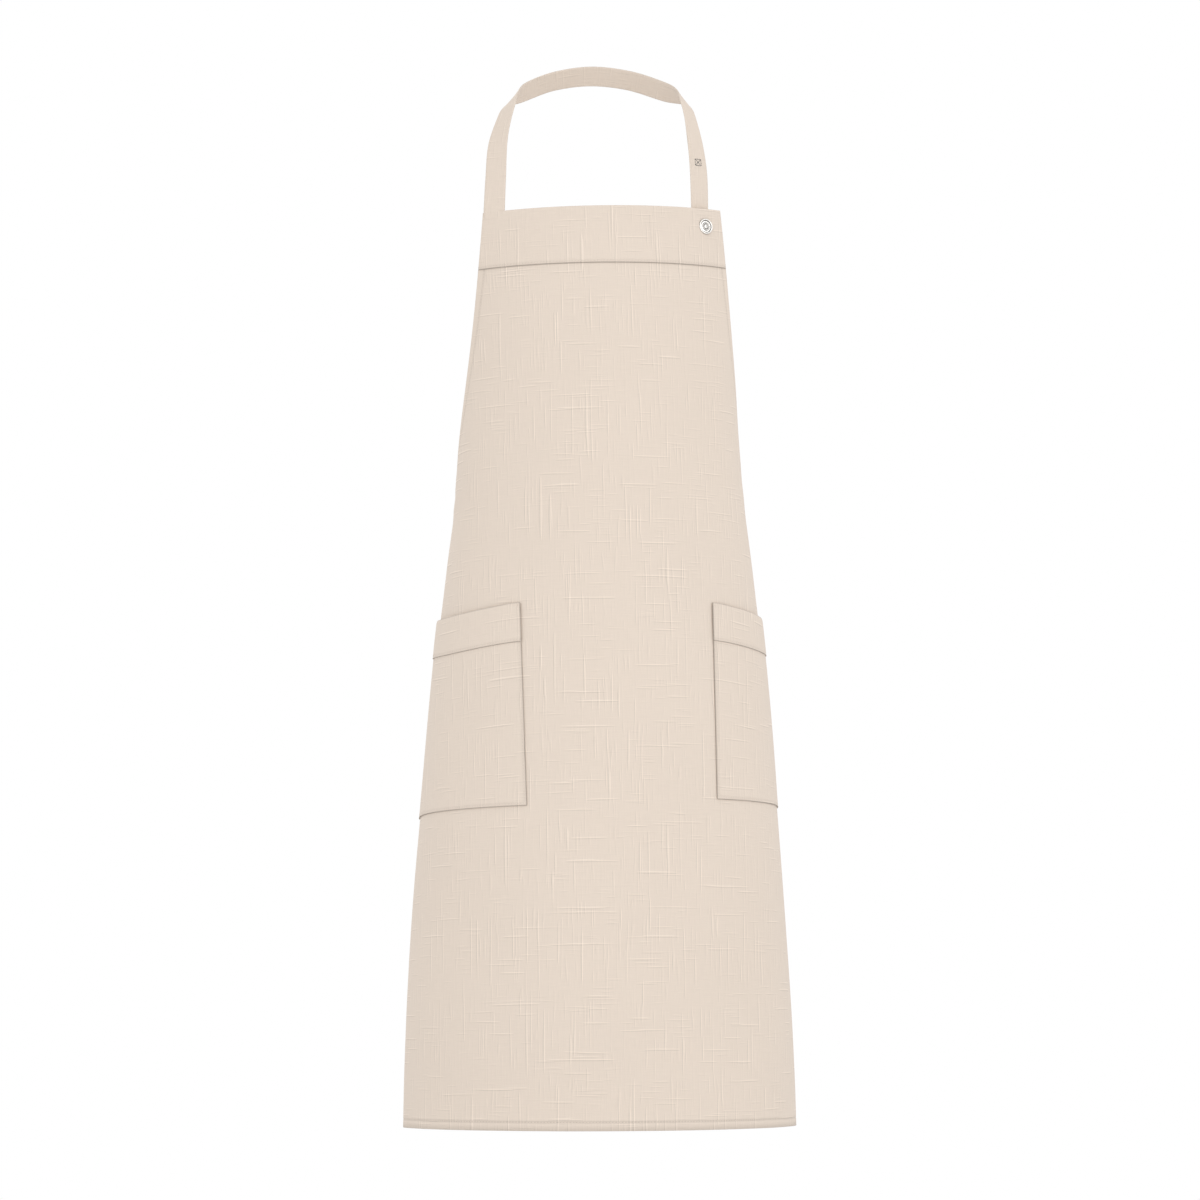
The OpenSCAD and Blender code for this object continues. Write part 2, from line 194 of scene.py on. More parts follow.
def flutes(s, h):
    """Soft folds of the hanging cloth: nearly none in front, growing towards the open back edges."""
    out = abs(s) / (HEM_WIDTH / 2)
    low = smooth(WAIST - 20 * MM, LENGTH, h)
    wide, fine = FOLD_PITCHES
    wave = math.sin(math.tau * abs(s) / wide + 2.2 * h / WAIST + (0.9 if s < 0 else 0))
    wave += 0.4 * math.sin(math.tau * abs(s) / fine - 3.1 * h / WAIST + (2.0 if s < 0 else 0.4))
    calm = CALM_SIZE * math.sin(math.tau * s / CALM_PITCH + 5 * h) * smooth(60 * MM, 300 * MM, h)
    # the cloth pulls into small creases at the corners that the waist ties hold
    dx, dh = panel_edge(h) - abs(s), h - TIE_DEPTH
    far = math.hypot(dx, dh)
    creases = CREASE_SIZE * math.exp(-far / CREASE_REACH) * math.sin(9 * math.atan2(dh, dx + 4 * MM))
    fade = smooth(6 * MM, 22 * MM, far)
    return FOLD_SIZE * out ** 5 * low * wave + calm + creases * fade


HALF_ROUND = 0.26  # metres round from the front, beyond which the hem's slope no longer grows


def askew(s, h):
    """How the worn apron hangs off level: its bib dips to the wearer's right, its hem to the left."""
    if h < POCKET_TOP:
        t = 1 - h / POCKET_TOP
        return -3.0 * MM * t * t + 0.024 * t * t * s
    held = HALF_ROUND * math.tanh(s / HALF_ROUND)
    return -0.5 * MM - 0.015 * held * (h - POCKET_TOP) / (LENGTH - POCKET_TOP)


def worn(s, h, lift=0.0):
    """A point of the cloth: s along it from the middle, h below the bib's top edge, lift off the body."""
    side = -1 if s < 0 else 1
    x, y, a = on_section(abs(s), h)
    out = lift + flutes(s, h)
    z = -h - droop(h) * s * s + askew(s, h)
    return Vector((side * (x + out * math.sin(a)), y - out * math.cos(a), z)) - BEARING


def panel_edge(h):
    """Flat half width of the panel at depth h: hollow armhole edges, then a straight flare."""
    if h >= WAIST:
        return mix(WAIST_WIDTH, HEM_WIDTH, (h - WAIST) / (LENGTH - WAIST)) / 2
    t = clamp01(h / WAIST)
    return mix(BIB_WIDTH, WAIST_WIDTH, 0.25 * t + 0.75 * (1 - math.sqrt(1 - t ** 2.6))) / 2


# ---------------- mesh helpers
def new_object(name, verts, faces, uvs=None, painted_shade=None):
    mesh = bpy.data.meshes.new(name)
    mesh.from_pydata([tuple(v) for v in verts], [], faces)
    if uvs is not None:
        layer = mesh.uv_layers.new(name="Cloth")
        flat = np.array([uvs[loop.vertex_index] for loop in mesh.loops], np.float32)
        layer.data.foreach_set("uv", flat.ravel())
    # a point attribute of painted shade: how much darker each point is painted where seams, edges, overlaps
    # and recesses would lie in shadow
    shade_layer = mesh.attributes.new("painted_shade", "FLOAT", "POINT")
    shade_layer.data.foreach_set("value", np.array(painted_shade or [0.0] * len(verts), np.float32))
    mesh.shade_smooth()
    mesh.validate()
    obj = bpy.data.objects.new(name, mesh)
    bpy.context.scene.collection.objects.link(obj)
    return obj


class Shell:
    """Collects closed shells of cloth that make up one piece."""

    ROUNDING = 0.45  # how far the rim stands out past the faces, as a share of the thickness

    def __init__(self):
        self.verts, self.faces, self.uvs, self.painted_shade = [], [], [], []

    def add(self, outer, inner, uv, painted_shade):
        """A closed shell between two grids of points, with rounded edges."""
        rows, cols = len(outer), len(outer[0])
        n = len(self.verts)
        count = rows * cols
        at = lambda i, j: n + i * cols + j
        for grid in (outer, inner):
            for i in range(rows):
                for j in range(cols):
                    self.verts.append(grid[i][j])
                    self.uvs.append(uv[i][j])
                    self.painted_shade.append(painted_shade[i][j])
        for i in range(rows - 1):
            for j in range(cols - 1):
                quad = (at(i, j), at(i + 1, j), at(i + 1, j + 1), at(i, j + 1))
                self.faces.append(quad)
                self.faces.append(tuple(count + k for k in reversed(quad)))
        ring = [(0, j) for j in range(cols)]
        ring += [(i, cols - 1) for i in range(1, rows)]
        ring += [(rows - 1, j) for j in range(cols - 2, -1, -1)]
        ring += [(i, 0) for i in range(rows - 2, 0, -1)]
        rim = len(self.verts)
        for i, j in ring:
            ii, jj = min(max(i, 1), rows - 2), min(max(j, 1), cols - 2)
            mid = (outer[i][j] + inner[i][j]) / 2
            thick = (outer[i][j] - inner[i][j]).length
            away = mid - (outer[ii][jj] + inner[ii][jj]) / 2
            self.verts.append(mid + away.normalized() * thick * self.ROUNDING)
            self.uvs.append(uv[i][j])
            self.painted_shade.append(painted_shade[i][j])
        for k, (i, j) in enumerate(ring):
            i2, j2 = ring[(k + 1) % len(ring)]
            a, b = rim + k, rim + (k + 1) % len(ring)
            self.faces.append((at(i, j), at(i2, j2), b, a))
            self.faces.append((a, b, count + at(i2, j2), count + at(i, j)))

    def make(self, name):
        return new_object(name, self.verts, self.faces, self.uvs, self.painted_shade)


def spaced(a, b, step):
    count = max(1, round(abs(b - a) / step))
    return [mix(a, b, k / count) for k in range(count + 1)]


def fine_edged(low, high, margin, count):
    """Places from low to high: the margin's steps in from both ends, and even steps between them."""
    middle = [mix(low + margin[-1], high - margin[-1], k / count) for k in range(1, count)]
    return [low + m for m in margin] + middle + [high - m for m in reversed(margin)]


def near(line, reach=(0.5 * MM, 1.2 * MM, 2.4 * MM)):
    """A line of points and close neighbours, so that a seam there has its own small groove."""
    return sorted({line} | {line - r for r in reach} | {line + r for r in reach})


def merged(*lists, least=0.35 * MM):
    out = []
    for v in sorted(v for values in lists for v in values):
        if not out or v - out[-1] > least:
            out.append(v)
    return out


def groove(distance, depth=0.35 * MM, width=0.9 * MM):
    """The dip that a row of stitches pulls into cloth, at a distance from the row."""
    return depth * bell(distance, width)


def edge_shade(distance):
    """Painted shadow: the thin dark line along an edge that lies on other cloth."""
    return 0.8 * bell(max(0.0, distance), 0.4 * MM)


def cloth_sheet(name, rows, columns, lift, thick, dip=None, shade=None, place=worn):
    """One layer of cloth. columns(h) gives its s values, lift(s, h) its middle, dip(s, h) its grooves."""
    shell = Shell()
    add_sheet(shell, rows, columns, lift, thick, dip, shade, place)
    return shell.make(name)


def add_sheet(shell, rows, columns, lift, thick, dip=None, shade=None, place=worn):
    outer, inner, uv, painted_shade = [], [], [], []
    for h in rows:
        ss = columns(h)
        low = [dip(s, h) if dip else 0.0 for s in ss]
        outer.append([place(s, h, lift(s, h) + thick / 2 - d) for s, d in zip(ss, low)])
        inner.append([place(s, h, lift(s, h) - thick / 2 + d * 0.4) for s, d in zip(ss, low)])
        uv.append([(s, -h) for s in ss])
        painted_shade.append([shade(s, h) if shade else 0.0 for s in ss])
    shell.add(outer, inner, uv, painted_shade)


def tube_faces(base, rings, around, turned=False):
    """Faces of a tube: rings of points, this many around, the first of them number base."""
    faces = []
    for i in range(rings - 1):
        for k in range(around):
            a, b = base + i * around + k, base + i * around + (k + 1) % around
            faces.append((a, a + around, b + around, b) if turned else (a, b, b + around, a + around))
    return faces


def stitches(name, paths, pitch, thread=0.42 * MM):
    """Rows of lockstitch: short rounded stitches along each path of (point, outward normal) pairs."""
    verts, faces = [], []
    profile = [(-0.5, 0.25), (-0.36, 0.85), (0.0, 1.0), (0.36, 0.85), (0.5, 0.25)]
    sides = 6
    covered = 0.84  # the share of each step that its stitch covers
    flat = 0.7  # a stitch's height as a share of its width
    for path in paths:
        points = [p for p, _ in path]
        lengths = [0.0]
        for a, b in zip(points, points[1:]):
            lengths.append(lengths[-1] + (b - a).length)
        count = int(lengths[-1] / pitch)
        if count < 1:
            continue
        step = lengths[-1] / count
        k = 0
        for c in range(count):
            where = (c + 0.5) * step
            while lengths[k + 1] < where:
                k += 1
            t = (where - lengths[k]) / (lengths[k + 1] - lengths[k])
            mid = points[k].lerp(points[k + 1], t)
            normal = path[k][1].lerp(path[k + 1][1], t).normalized()
            along = (points[k + 1] - points[k]).normalized()
            side = along.cross(normal).normalized()
            normal = side.cross(along)
            base = len(verts)
            for x, r in profile:
                for q in range(sides):
                    a = math.tau * q / sides
                    verts.append(
                        mid + along * (x * step * covered)
                        + (side * math.cos(a) + normal * math.sin(a) * flat) * (thread * r)
                        - normal * (thread * 0.25 + (1 - r) * thread * 0.5)
                    )
            faces += tube_faces(base, len(profile), sides)
            faces.append(tuple(base + q for q in reversed(range(sides))))
            faces.append(tuple(base + (len(profile) - 1) * sides + q for q in range(sides)))
    return new_object(name, verts, faces, [(v[0], v[2]) for v in verts])


def seam_path(points, lift, place=worn):
    """A path of (point, normal) pairs along cloth points (s, h), lift(s, h) off the body."""
    path = []
    for s, h in points:
        p = place(s, h, lift(s, h))
        q = place(s, h, lift(s, h) + 1 * MM)
        path.append((p, (q - p).normalized()))
    return path


def turned_over(path):
    """The same path for stitches seen from the other face of the cloth."""
    return [(p, -normal) for p, normal in path]


def along_corners(corners, step):
    """Points about step apart along straight lines from corner to corner."""
    out = [corners[0]]
    for (s0, h0), (s1, h1) in zip(corners, corners[1:]):
        count = max(1, round(math.hypot(s1 - s0, h1 - h0) / step))
        out += [(mix(s0, s1, k / count), mix(h0, h1, k / count)) for k in range(1, count + 1)]
    return out


# ---------------- materials
class Nodes:
    """Short calls for building a node tree."""

    def __init__(self, tree):
        self.tree = tree

    def add(self, kind, inputs=None, **settings):
        """A new node; each of its inputs is given a value or another node's output."""
        node = self.tree.nodes.new(kind)
        for key, value in settings.items():
            setattr(node, key, value)
        for key, value in (inputs or {}).items():
            if hasattr(value, "links"):
                self.link(value, node.inputs[key])
            else:
                node.inputs[key].default_value = value
        return node

    def link(self, out, socket):
        self.tree.links.new(out, socket)

    def math(self, op, a, b=0.0):
        return self.add("ShaderNodeMath", {0: a, 1: b}, operation=op).outputs[0]

    def plus(self, a, b):
        return self.math("ADD", a, b)

    def minus(self, a, b):
        return self.math("SUBTRACT", a, b)

    def times(self, a, b):
        return self.math("MULTIPLY", a, b)

    def scaled(self, vector, scale, moved=(0.0, 0.0, 0.0)):
        inputs = {"Vector": vector, "Location": moved, "Scale": scale}
        return self.add("ShaderNodeMapping", inputs, vector_type="POINT").outputs[0]

    def noise(self, vector, scale, detail=2.0, rough=0.5, distort=0.0):
        inputs = {"Vector": vector, "Scale": scale, "Detail": detail, "Roughness": rough}
        inputs["Distortion"] = distort
        return self.add("ShaderNodeTexNoise", inputs).outputs["Fac"]

    def band(self, value, low, high):
        """0 below low, 1 above high, smooth between."""
        inputs = {"Value": value, "From Min": low, "From Max": high}
        return self.add("ShaderNodeMapRange", inputs, interpolation_type="SMOOTHSTEP").outputs["Result"]

    def blend(self, factor, a, b, mode="MIX"):
        inputs = {"Factor": factor, "A": a, "B": b}
        return self.add("ShaderNodeMix", inputs, data_type="RGBA", blend_type=mode).outputs["Result"]

    def painted_shade_fac(self):
        """The painted shade that the mesh carries from point to point."""
        node = self.add("ShaderNodeAttribute", attribute_name="painted_shade", attribute_type="GEOMETRY")
        return node.outputs["Fac"]

    def bump(self, bsdf, height, strength, distance):
        inputs = {"Strength": strength, "Distance": distance, "Height": height}
        self.link(self.add("ShaderNodeBump", inputs).outputs[0], bsdf.inputs["Normal"])


def material(name, base, rough, metallic=0.0):
    """A material, short calls for its nodes, and its main shader."""
    mat = bpy.data.materials.new(name)
    mat.use_nodes = True
    bsdf = mat.node_tree.nodes["Principled BSDF"]
    bsdf.inputs["Base Color"].default_value = (*base, 1)
    bsdf.inputs["Roughness"].default_value = rough
    bsdf.inputs["Metallic"].default_value = metallic
    return mat, Nodes(mat.node_tree), bsdf


def linen(name, base, threads=1150.0, slubs=1.0):
    """Undyed linen look: a plain weave of uneven threads with lighter slubs both ways."""
    mat, n, bsdf = material(name, base, 0.86)
    uv = n.add("ShaderNodeUVMap", uv_map="Cloth").outputs[0]

    def streaks(scale, low, high, aside=(0.0, 0.0)):
        where = n.scaled(uv, (*scale, 1.0), (aside[0] * scale[0], aside[1] * scale[1], 0.0))
        return n.band(n.noise(where, 1.0, 1.0, 0.5, 0.1), low, high)

    def raised(scale, low, high, aside):
        """Light lines, and the shadow of each on one side of it."""
        line = streaks(scale, low, high)
        return line, n.minus(line, streaks(scale, low, high, aside))

    # patches where uneven threads run closer together, along the warp and along the weft
    warp_patch = n.band(n.noise(uv, 34.0, 1.0), 0.46, 0.6)
    weft_patch = n.band(n.noise(n.scaled(uv, (29.0, 37.0, 1.0)), 1.0, 1.0), 0.52, 0.64)
    warp_line, warp_side = raised((480.0, 24.0), 0.57, 0.65, (0.9 * MM, 0.0))
    weft_line, weft_side = raised((22.0, 480.0), 0.59, 0.67, (0.0, 0.9 * MM))
    lines = n.plus(n.times(warp_side, n.plus(0.25, warp_patch)), n.times(weft_side, n.plus(0.1, weft_patch)))
    ridges = n.math("MAXIMUM", warp_line, weft_line)
    # long single slubs
    warp_slub, warp_edge = raised((430.0, 12.0), 0.665, 0.695, (1.1 * MM, 0.0))
    weft_slub, weft_edge = raised((13.0, 430.0), 0.68, 0.71, (0.0, 1.1 * MM))
    slub = n.math("MAXIMUM", warp_slub, weft_slub)
    edges = n.plus(warp_edge, weft_edge)
    fine = n.plus(n.noise(n.scaled(uv, (1500.0, 70.0, 1.0)), 1.0, 1.0),
                  n.noise(n.scaled(uv, (64.0, 1400.0, 1.0)), 1.0, 1.0))
    # the colour: an even base, light and dark sides of the threads (the dark side a painted shadow), and
    # painted shade along seams, edges and overlaps
    tone = n.plus(n.times(n.minus(n.noise(uv, 9.0, 2.0), 0.5), 0.03), 0.995)
    tone = n.plus(tone, n.times(n.minus(fine, 1.0), 0.07))
    tone = n.plus(tone, n.times(lines, 0.055 * slubs))
    tone = n.plus(tone, n.times(edges, 0.095 * slubs))
    tone = n.plus(tone, n.times(slub, 0.03 * slubs))
    # painted shade: the mesh's shade attribute darkens the tone where seams, edges and overlaps would be in
    # shadow
    tone = n.times(tone, n.minus(1.0, n.times(n.painted_shade_fac(), 0.45)))
    grey = n.add("ShaderNodeCombineColor")
    for socket in grey.inputs:
        n.link(tone, socket)
    n.link(n.blend(1.0, (*base, 1), grey.outputs[0], "MULTIPLY"), bsdf.inputs["Base Color"])
    # the weave: warp and weft threads that pass over and under each other
    split_uv = n.add("ShaderNodeSeparateXYZ", {0: uv})
    wander = n.times(n.minus(n.noise(n.scaled(uv, (90.0, 90.0, 1.0)), 1.0, 2.0), 0.5), 1.6)
    across, along = (
        n.math("SINE", n.plus(n.times(split_uv.outputs[k], threads * math.pi), wander)) for k in (0, 1)
    )
    over = n.math("GREATER_THAN", n.times(across, along), 0.0)
    threads_up = {0: over, 2: n.math("ABSOLUTE", across), 3: n.math("ABSOLUTE", along)}
    weave = n.add("ShaderNodeMix", threads_up, data_type="FLOAT")
    height = n.plus(n.times(weave.outputs[0], 0.3), n.times(slub, 0.8))
    height = n.plus(height, n.plus(n.times(ridges, 0.3), n.times(fine, 0.4)))
    n.bump(bsdf, height, 0.4, 0.3 * MM)
    n.link(n.minus(0.92, n.times(slub, 0.1)), bsdf.inputs["Roughness"])
    bsdf.inputs["Specular IOR Level"].default_value = 0.25
    bsdf.inputs["Sheen Weight"].default_value = 0.12
    bsdf.inputs["Sheen Roughness"].default_value = 0.5
    return mat


def tinted(base, factor):
    """A colour for a shader, this much lighter or darker than base."""
    return (*[min(1, c * factor) for c in base], 1)


def thread_material(name, base):
    mat, n, bsdf = material(name, base, 0.6)
    twist = n.noise(n.add("ShaderNodeTexCoord").outputs["Object"], 1700.0, 2.0)
    n.link(n.blend(twist, tinted(base, 0.86), tinted(base, 1.08)), bsdf.inputs["Base Color"])
    n.bump(bsdf, twist, 0.3, 0.1 * MM)
    return mat


def metal(name, base, rough):
    """Nickel plate with a fine brushed grain, faint handling marks and painted shade darkening its grooves
    and recesses.
    """
    mat, n, bsdf = material(name, base, rough, 1.0)
    place = n.add("ShaderNodeTexCoord").outputs["Object"]
    grain = n.noise(n.scaled(place, (900.0, 900.0, 5200.0)), 1.0, 3.0)
    marks = n.noise(place, 420.0, 4.0, 0.65)
    colour = n.blend(marks, tinted(base, 0.86), tinted(base, 1.05))
    # painted shade: the mesh's shade attribute darkens the grooves and recesses
    dark = n.blend(n.times(n.painted_shade_fac(), 0.95), colour, tinted(base, 0.05))
    n.link(dark, bsdf.inputs["Base Color"])
    rough_now = n.plus(n.times(grain, 0.08), n.times(marks, 0.12))
    n.link(n.plus(rough_now, rough - 0.1), bsdf.inputs["Roughness"])
    n.bump(bsdf, grain, 0.12, 0.05 * MM)
    return mat


LINEN = (0.745, 0.651, 0.565)
cloth_mat = linen("linen", LINEN)
inside_mat = linen("linen_inside", tuple(c * 0.97 for c in LINEN))
strap_mat = linen("linen_strap", tuple(c * 1.005 for c in LINEN), threads=1250.0, slubs=0.7)
thread_mat = thread_material("thread", tuple(c * 1.02 for c in LINEN))
grey_thread_mat = thread_material("grey_thread", (0.14, 0.135, 0.13))
label_mat = linen("label_cloth", (0.86, 0.85, 0.82), threads=2600.0, slubs=0.0)
nickel_mat = metal("nickel", (0.93, 0.905, 0.87), 0.28)
steel_mat = metal("steel", (0.66, 0.66, 0.65), 0.36)


def dress(obj, mat, body, slot_name, *replaced):
    obj.data.materials.clear()
    obj.data.materials.append(mat)
    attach(obj, body)
    if replaced:
        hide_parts(*replaced)


def sew(name, paths, pitch=3.1 * MM):
    """Stitches in the panel's own thread."""
    dress(stitches(name, paths, pitch), thread_mat, "panel", "cloth")


# ---------------- camera
TARGET = Vector((0, 0, -387.5 * MM)) - BEARING
DISTANCE = 3.5
YAW = math.radians(-8.3)
VIEW_WIDTH = 1.188  # how much the picture spans at the target, in metres
SENSOR = 36.0
camera = bpy.data.objects.new("camera", bpy.data.cameras.new("camera"))
bpy.context.scene.collection.objects.link(camera)
camera.data.sensor_width = SENSOR
camera.data.lens = SENSOR * DISTANCE / VIEW_WIDTH
camera.location = TARGET + Vector((math.sin(YAW), -math.cos(YAW), 0)) * DISTANCE
camera.rotation_mode = "QUATERNION"
camera.rotation_quaternion = (TARGET - camera.location).to_track_quat("-Z", "Y")
camera.data.clip_end = 100
bpy.context.scene.camera = camera

# ---------------- front panel
SIDE_SEAM = 7.8 * MM  # how far in from the side edges the stitches of their hems run
FOOT_SEAM = LENGTH - HEM + 1 * MM  # the depth of the row of stitches along the foot
PANEL_TOP = BAND - 8 * MM  # the panel's own top edge, hidden between band and facing


def armhole_rows(count):
    return [WAIST * math.sin(math.pi / 2 * k / count) ** (2 / 2.6) for k in range(count + 1)]


def panel_rows():
    upper = [h for h in armhole_rows(64) if PANEL_TOP < h < WAIST]
    lower = spaced(WAIST, LENGTH, 6 * MM)
    return merged(upper, lower, [PANEL_TOP], near(BAND + 1 * MM), near(FOOT_SEAM), [LENGTH])


def across_panel(h):
    """The panel's columns: close along the side hems, then about 6 mm apart."""
    edge = panel_edge(h)
    return fine_edged(-edge, edge, in_mm(0, 1.2, 3, 5.5, 7, 7.6, 8.2, 9, 10.5, 13), 98)


def hem_dip(s, h):
    edge = panel_edge(h) - abs(s)
    return groove(edge - SIDE_SEAM, 0.3 * MM, 0.8 * MM) + groove(FOOT_SEAM - h, 0.35 * MM)


# Painted shade on the panel: darker along the side and foot stitch grooves, at the foot's edge and in the
# shadow just under the bib band.
def hem_shade(s, h):
    edge = panel_edge(h) - abs(s)
    side = bell(edge - SIDE_SEAM, 1.0 * MM)
    foot = bell(FOOT_SEAM - h, 1.0 * MM)
    rim = bell(max(0.0, LENGTH - h), 0.7 * MM)
    under_band = bell(max(0.0, h - BAND), 1.0 * MM)
    return min(1.0, 0.3 * side + 0.5 * foot + 0.3 * rim + 0.6 * under_band)


panel = Shell()
add_sheet(panel, panel_rows(), across_panel, lambda s, h: CLOTH / 2, CLOTH, hem_dip, hem_shade)

# the hem turned up inside along the foot, and the narrow hems turned in along the sides
TURN = 1.3 * MM
turned_lift = lambda s, h: -TURN / 2 - 0.08 * MM
add_sheet(
    panel,
    merged([LENGTH - HEM, LENGTH - HEM / 2, LENGTH - 0.6 * MM]),
    lambda h: [mix(-panel_edge(h) + 1 * MM, panel_edge(h) - 1 * MM, k / 120) for k in range(121)],
    turned_lift,
    TURN,
)
for side in (-1, 1):
    add_sheet(
        panel,
        [h for h in panel_rows() if BAND + 2 * MM < h < LENGTH - HEM],
        lambda h: sorted(side * (panel_edge(h) - d) for d in (0.6 * MM, 4 * MM, 7 * MM, SIDE_HEM)),
        turned_lift,
        TURN,
    )
front_panel = panel.make("front_panel")
dress(front_panel, cloth_mat, "panel", "cloth", "front_panel")

edge_line = [h for h in panel_rows() if h > BAND + 2 * MM]
outside = lambda s, h: CLOTH - hem_dip(s, h)
inside = lambda s, h: -TURN - 0.12 * MM
hem_ends = panel_edge(LENGTH - SIDE_SEAM) - SIDE_SEAM
foot_line = [(s, FOOT_SEAM) for s in spaced(-hem_ends, hem_ends, 5 * MM)]
panel_paths = [seam_path(foot_line, outside)]
inside_paths = [seam_path(foot_line, inside)]
for side in (-1, 1):
    line = [(side * (panel_edge(h) - SIDE_SEAM), h) for h in edge_line]
    panel_paths.append(seam_path(line, outside))
    inside_paths.append(seam_path(line, inside))
inside_paths = [turned_over(path) for path in inside_paths]
sew("panel_stitching", panel_paths + inside_paths)

# ---------------- bib band, facing and stiffener
BAND_SEAM = BAND - 1.7 * MM  # the depth of the row of stitches along the band's foot
STRAP_S = 115 * MM  # how far from the middle the left end of the neck strap is sewn in
OVER_PANEL = (42 * MM, 50 * MM)  # depths between which band and facing open out over the panel's top edge


def band_columns(h):
    edge = panel_edge(h)
    return fine_edged(-edge, edge, in_mm(0, 0.5, 1.1, 1.8, 2.6, 3.6, 5), 50)


def closing(s, h):
    """1 at the bib's top and side edges, where band and facing meet, and 0 a little way in."""
    edge = min(h, panel_edge(h) - abs(s))
    apart = 0.45 * bell(((s + STRAP_S) / (11 * MM)) ** 2, 1.0) * (1 - smooth(2 * MM, 6 * MM, h))
    return (1 - smooth(0.0, 2.8 * MM, edge)) * (1 - apart)


def band_lift(s, h):
    return mix((1.0 + 0.35 * smooth(*OVER_PANEL, h)) * MM, 0.4 * MM, closing(s, h))


def facing_lift(s, h):
    return mix((-1.1 + 0.5 * smooth(*OVER_PANEL, h)) * MM, -0.45 * MM, closing(s, h))


def band_dip(s, h):
    return groove(BAND_SEAM - h, 0.3 * MM, 0.7 * MM)


# Painted shade along the band's stitch groove and painted shadow along its foot edge.
def band_shade(s, h):
    return 0.25 * bell(BAND_SEAM - h, 0.8 * MM) + edge_shade(BAND - h)


band_rows = merged(
    in_mm(0, 0.4, 1, 1.8, 2.8), spaced(5 * MM, BAND - 5 * MM, 5 * MM),
    near(BAND_SEAM, (0.5 * MM, 1.1 * MM)), [BAND - 0.5 * MM, BAND],
)
bib_band = cloth_sheet("bib_band", band_rows, band_columns, band_lift, CLOTH, band_dip, band_shade)
dress(bib_band, cloth_mat, "panel", "cloth", "bib_band")
bib_facing = cloth_sheet("bib_facing", band_rows, band_columns, facing_lift, CLOTH)
dress(bib_facing, inside_mat, "panel", "cloth", "bib_facing")
bib_interfacing = cloth_sheet(
    "bib_interfacing", spaced(3 * MM, PANEL_TOP - 2 * MM, 8 * MM),
    lambda h: spaced(-102 * MM, panel_edge(h) - 3 * MM, 8 * MM),
    lambda s, h: -0.3 * MM, 0.4 * MM,
)
dress(bib_interfacing, label_mat, "panel", "interfacing", "bib_interfacing")

band_ends = panel_edge(BAND) - 1 * MM
band_line = [(s, BAND_SEAM) for s in spaced(-band_ends, band_ends, 5 * MM)]
sewn_box = [
    (-STRAP_S + x * MM, depth * MM)
    for x, depth in ((-8, 5), (8, 5), (8, 40), (-8, 40), (-8, 5))
]
band_outside = lambda s, h: band_lift(s, h) + CLOTH / 2 - band_dip(s, h)
facing_inside = lambda s, h: facing_lift(s, h) - CLOTH / 2
sew("band_stitching", [seam_path(band_line, band_outside), turned_over(seam_path(band_line, facing_inside))])
sew("strap_sewing", [turned_over(seam_path(along_corners(sewn_box, 4 * MM), facing_inside))])

# ---------------- pockets
POCKET_LIFT = CLOTH + 0.12 * MM + 0.5 * MM
POCKET_THICK = 1.0 * MM
EDGE_STITCH = 1.8 * MM


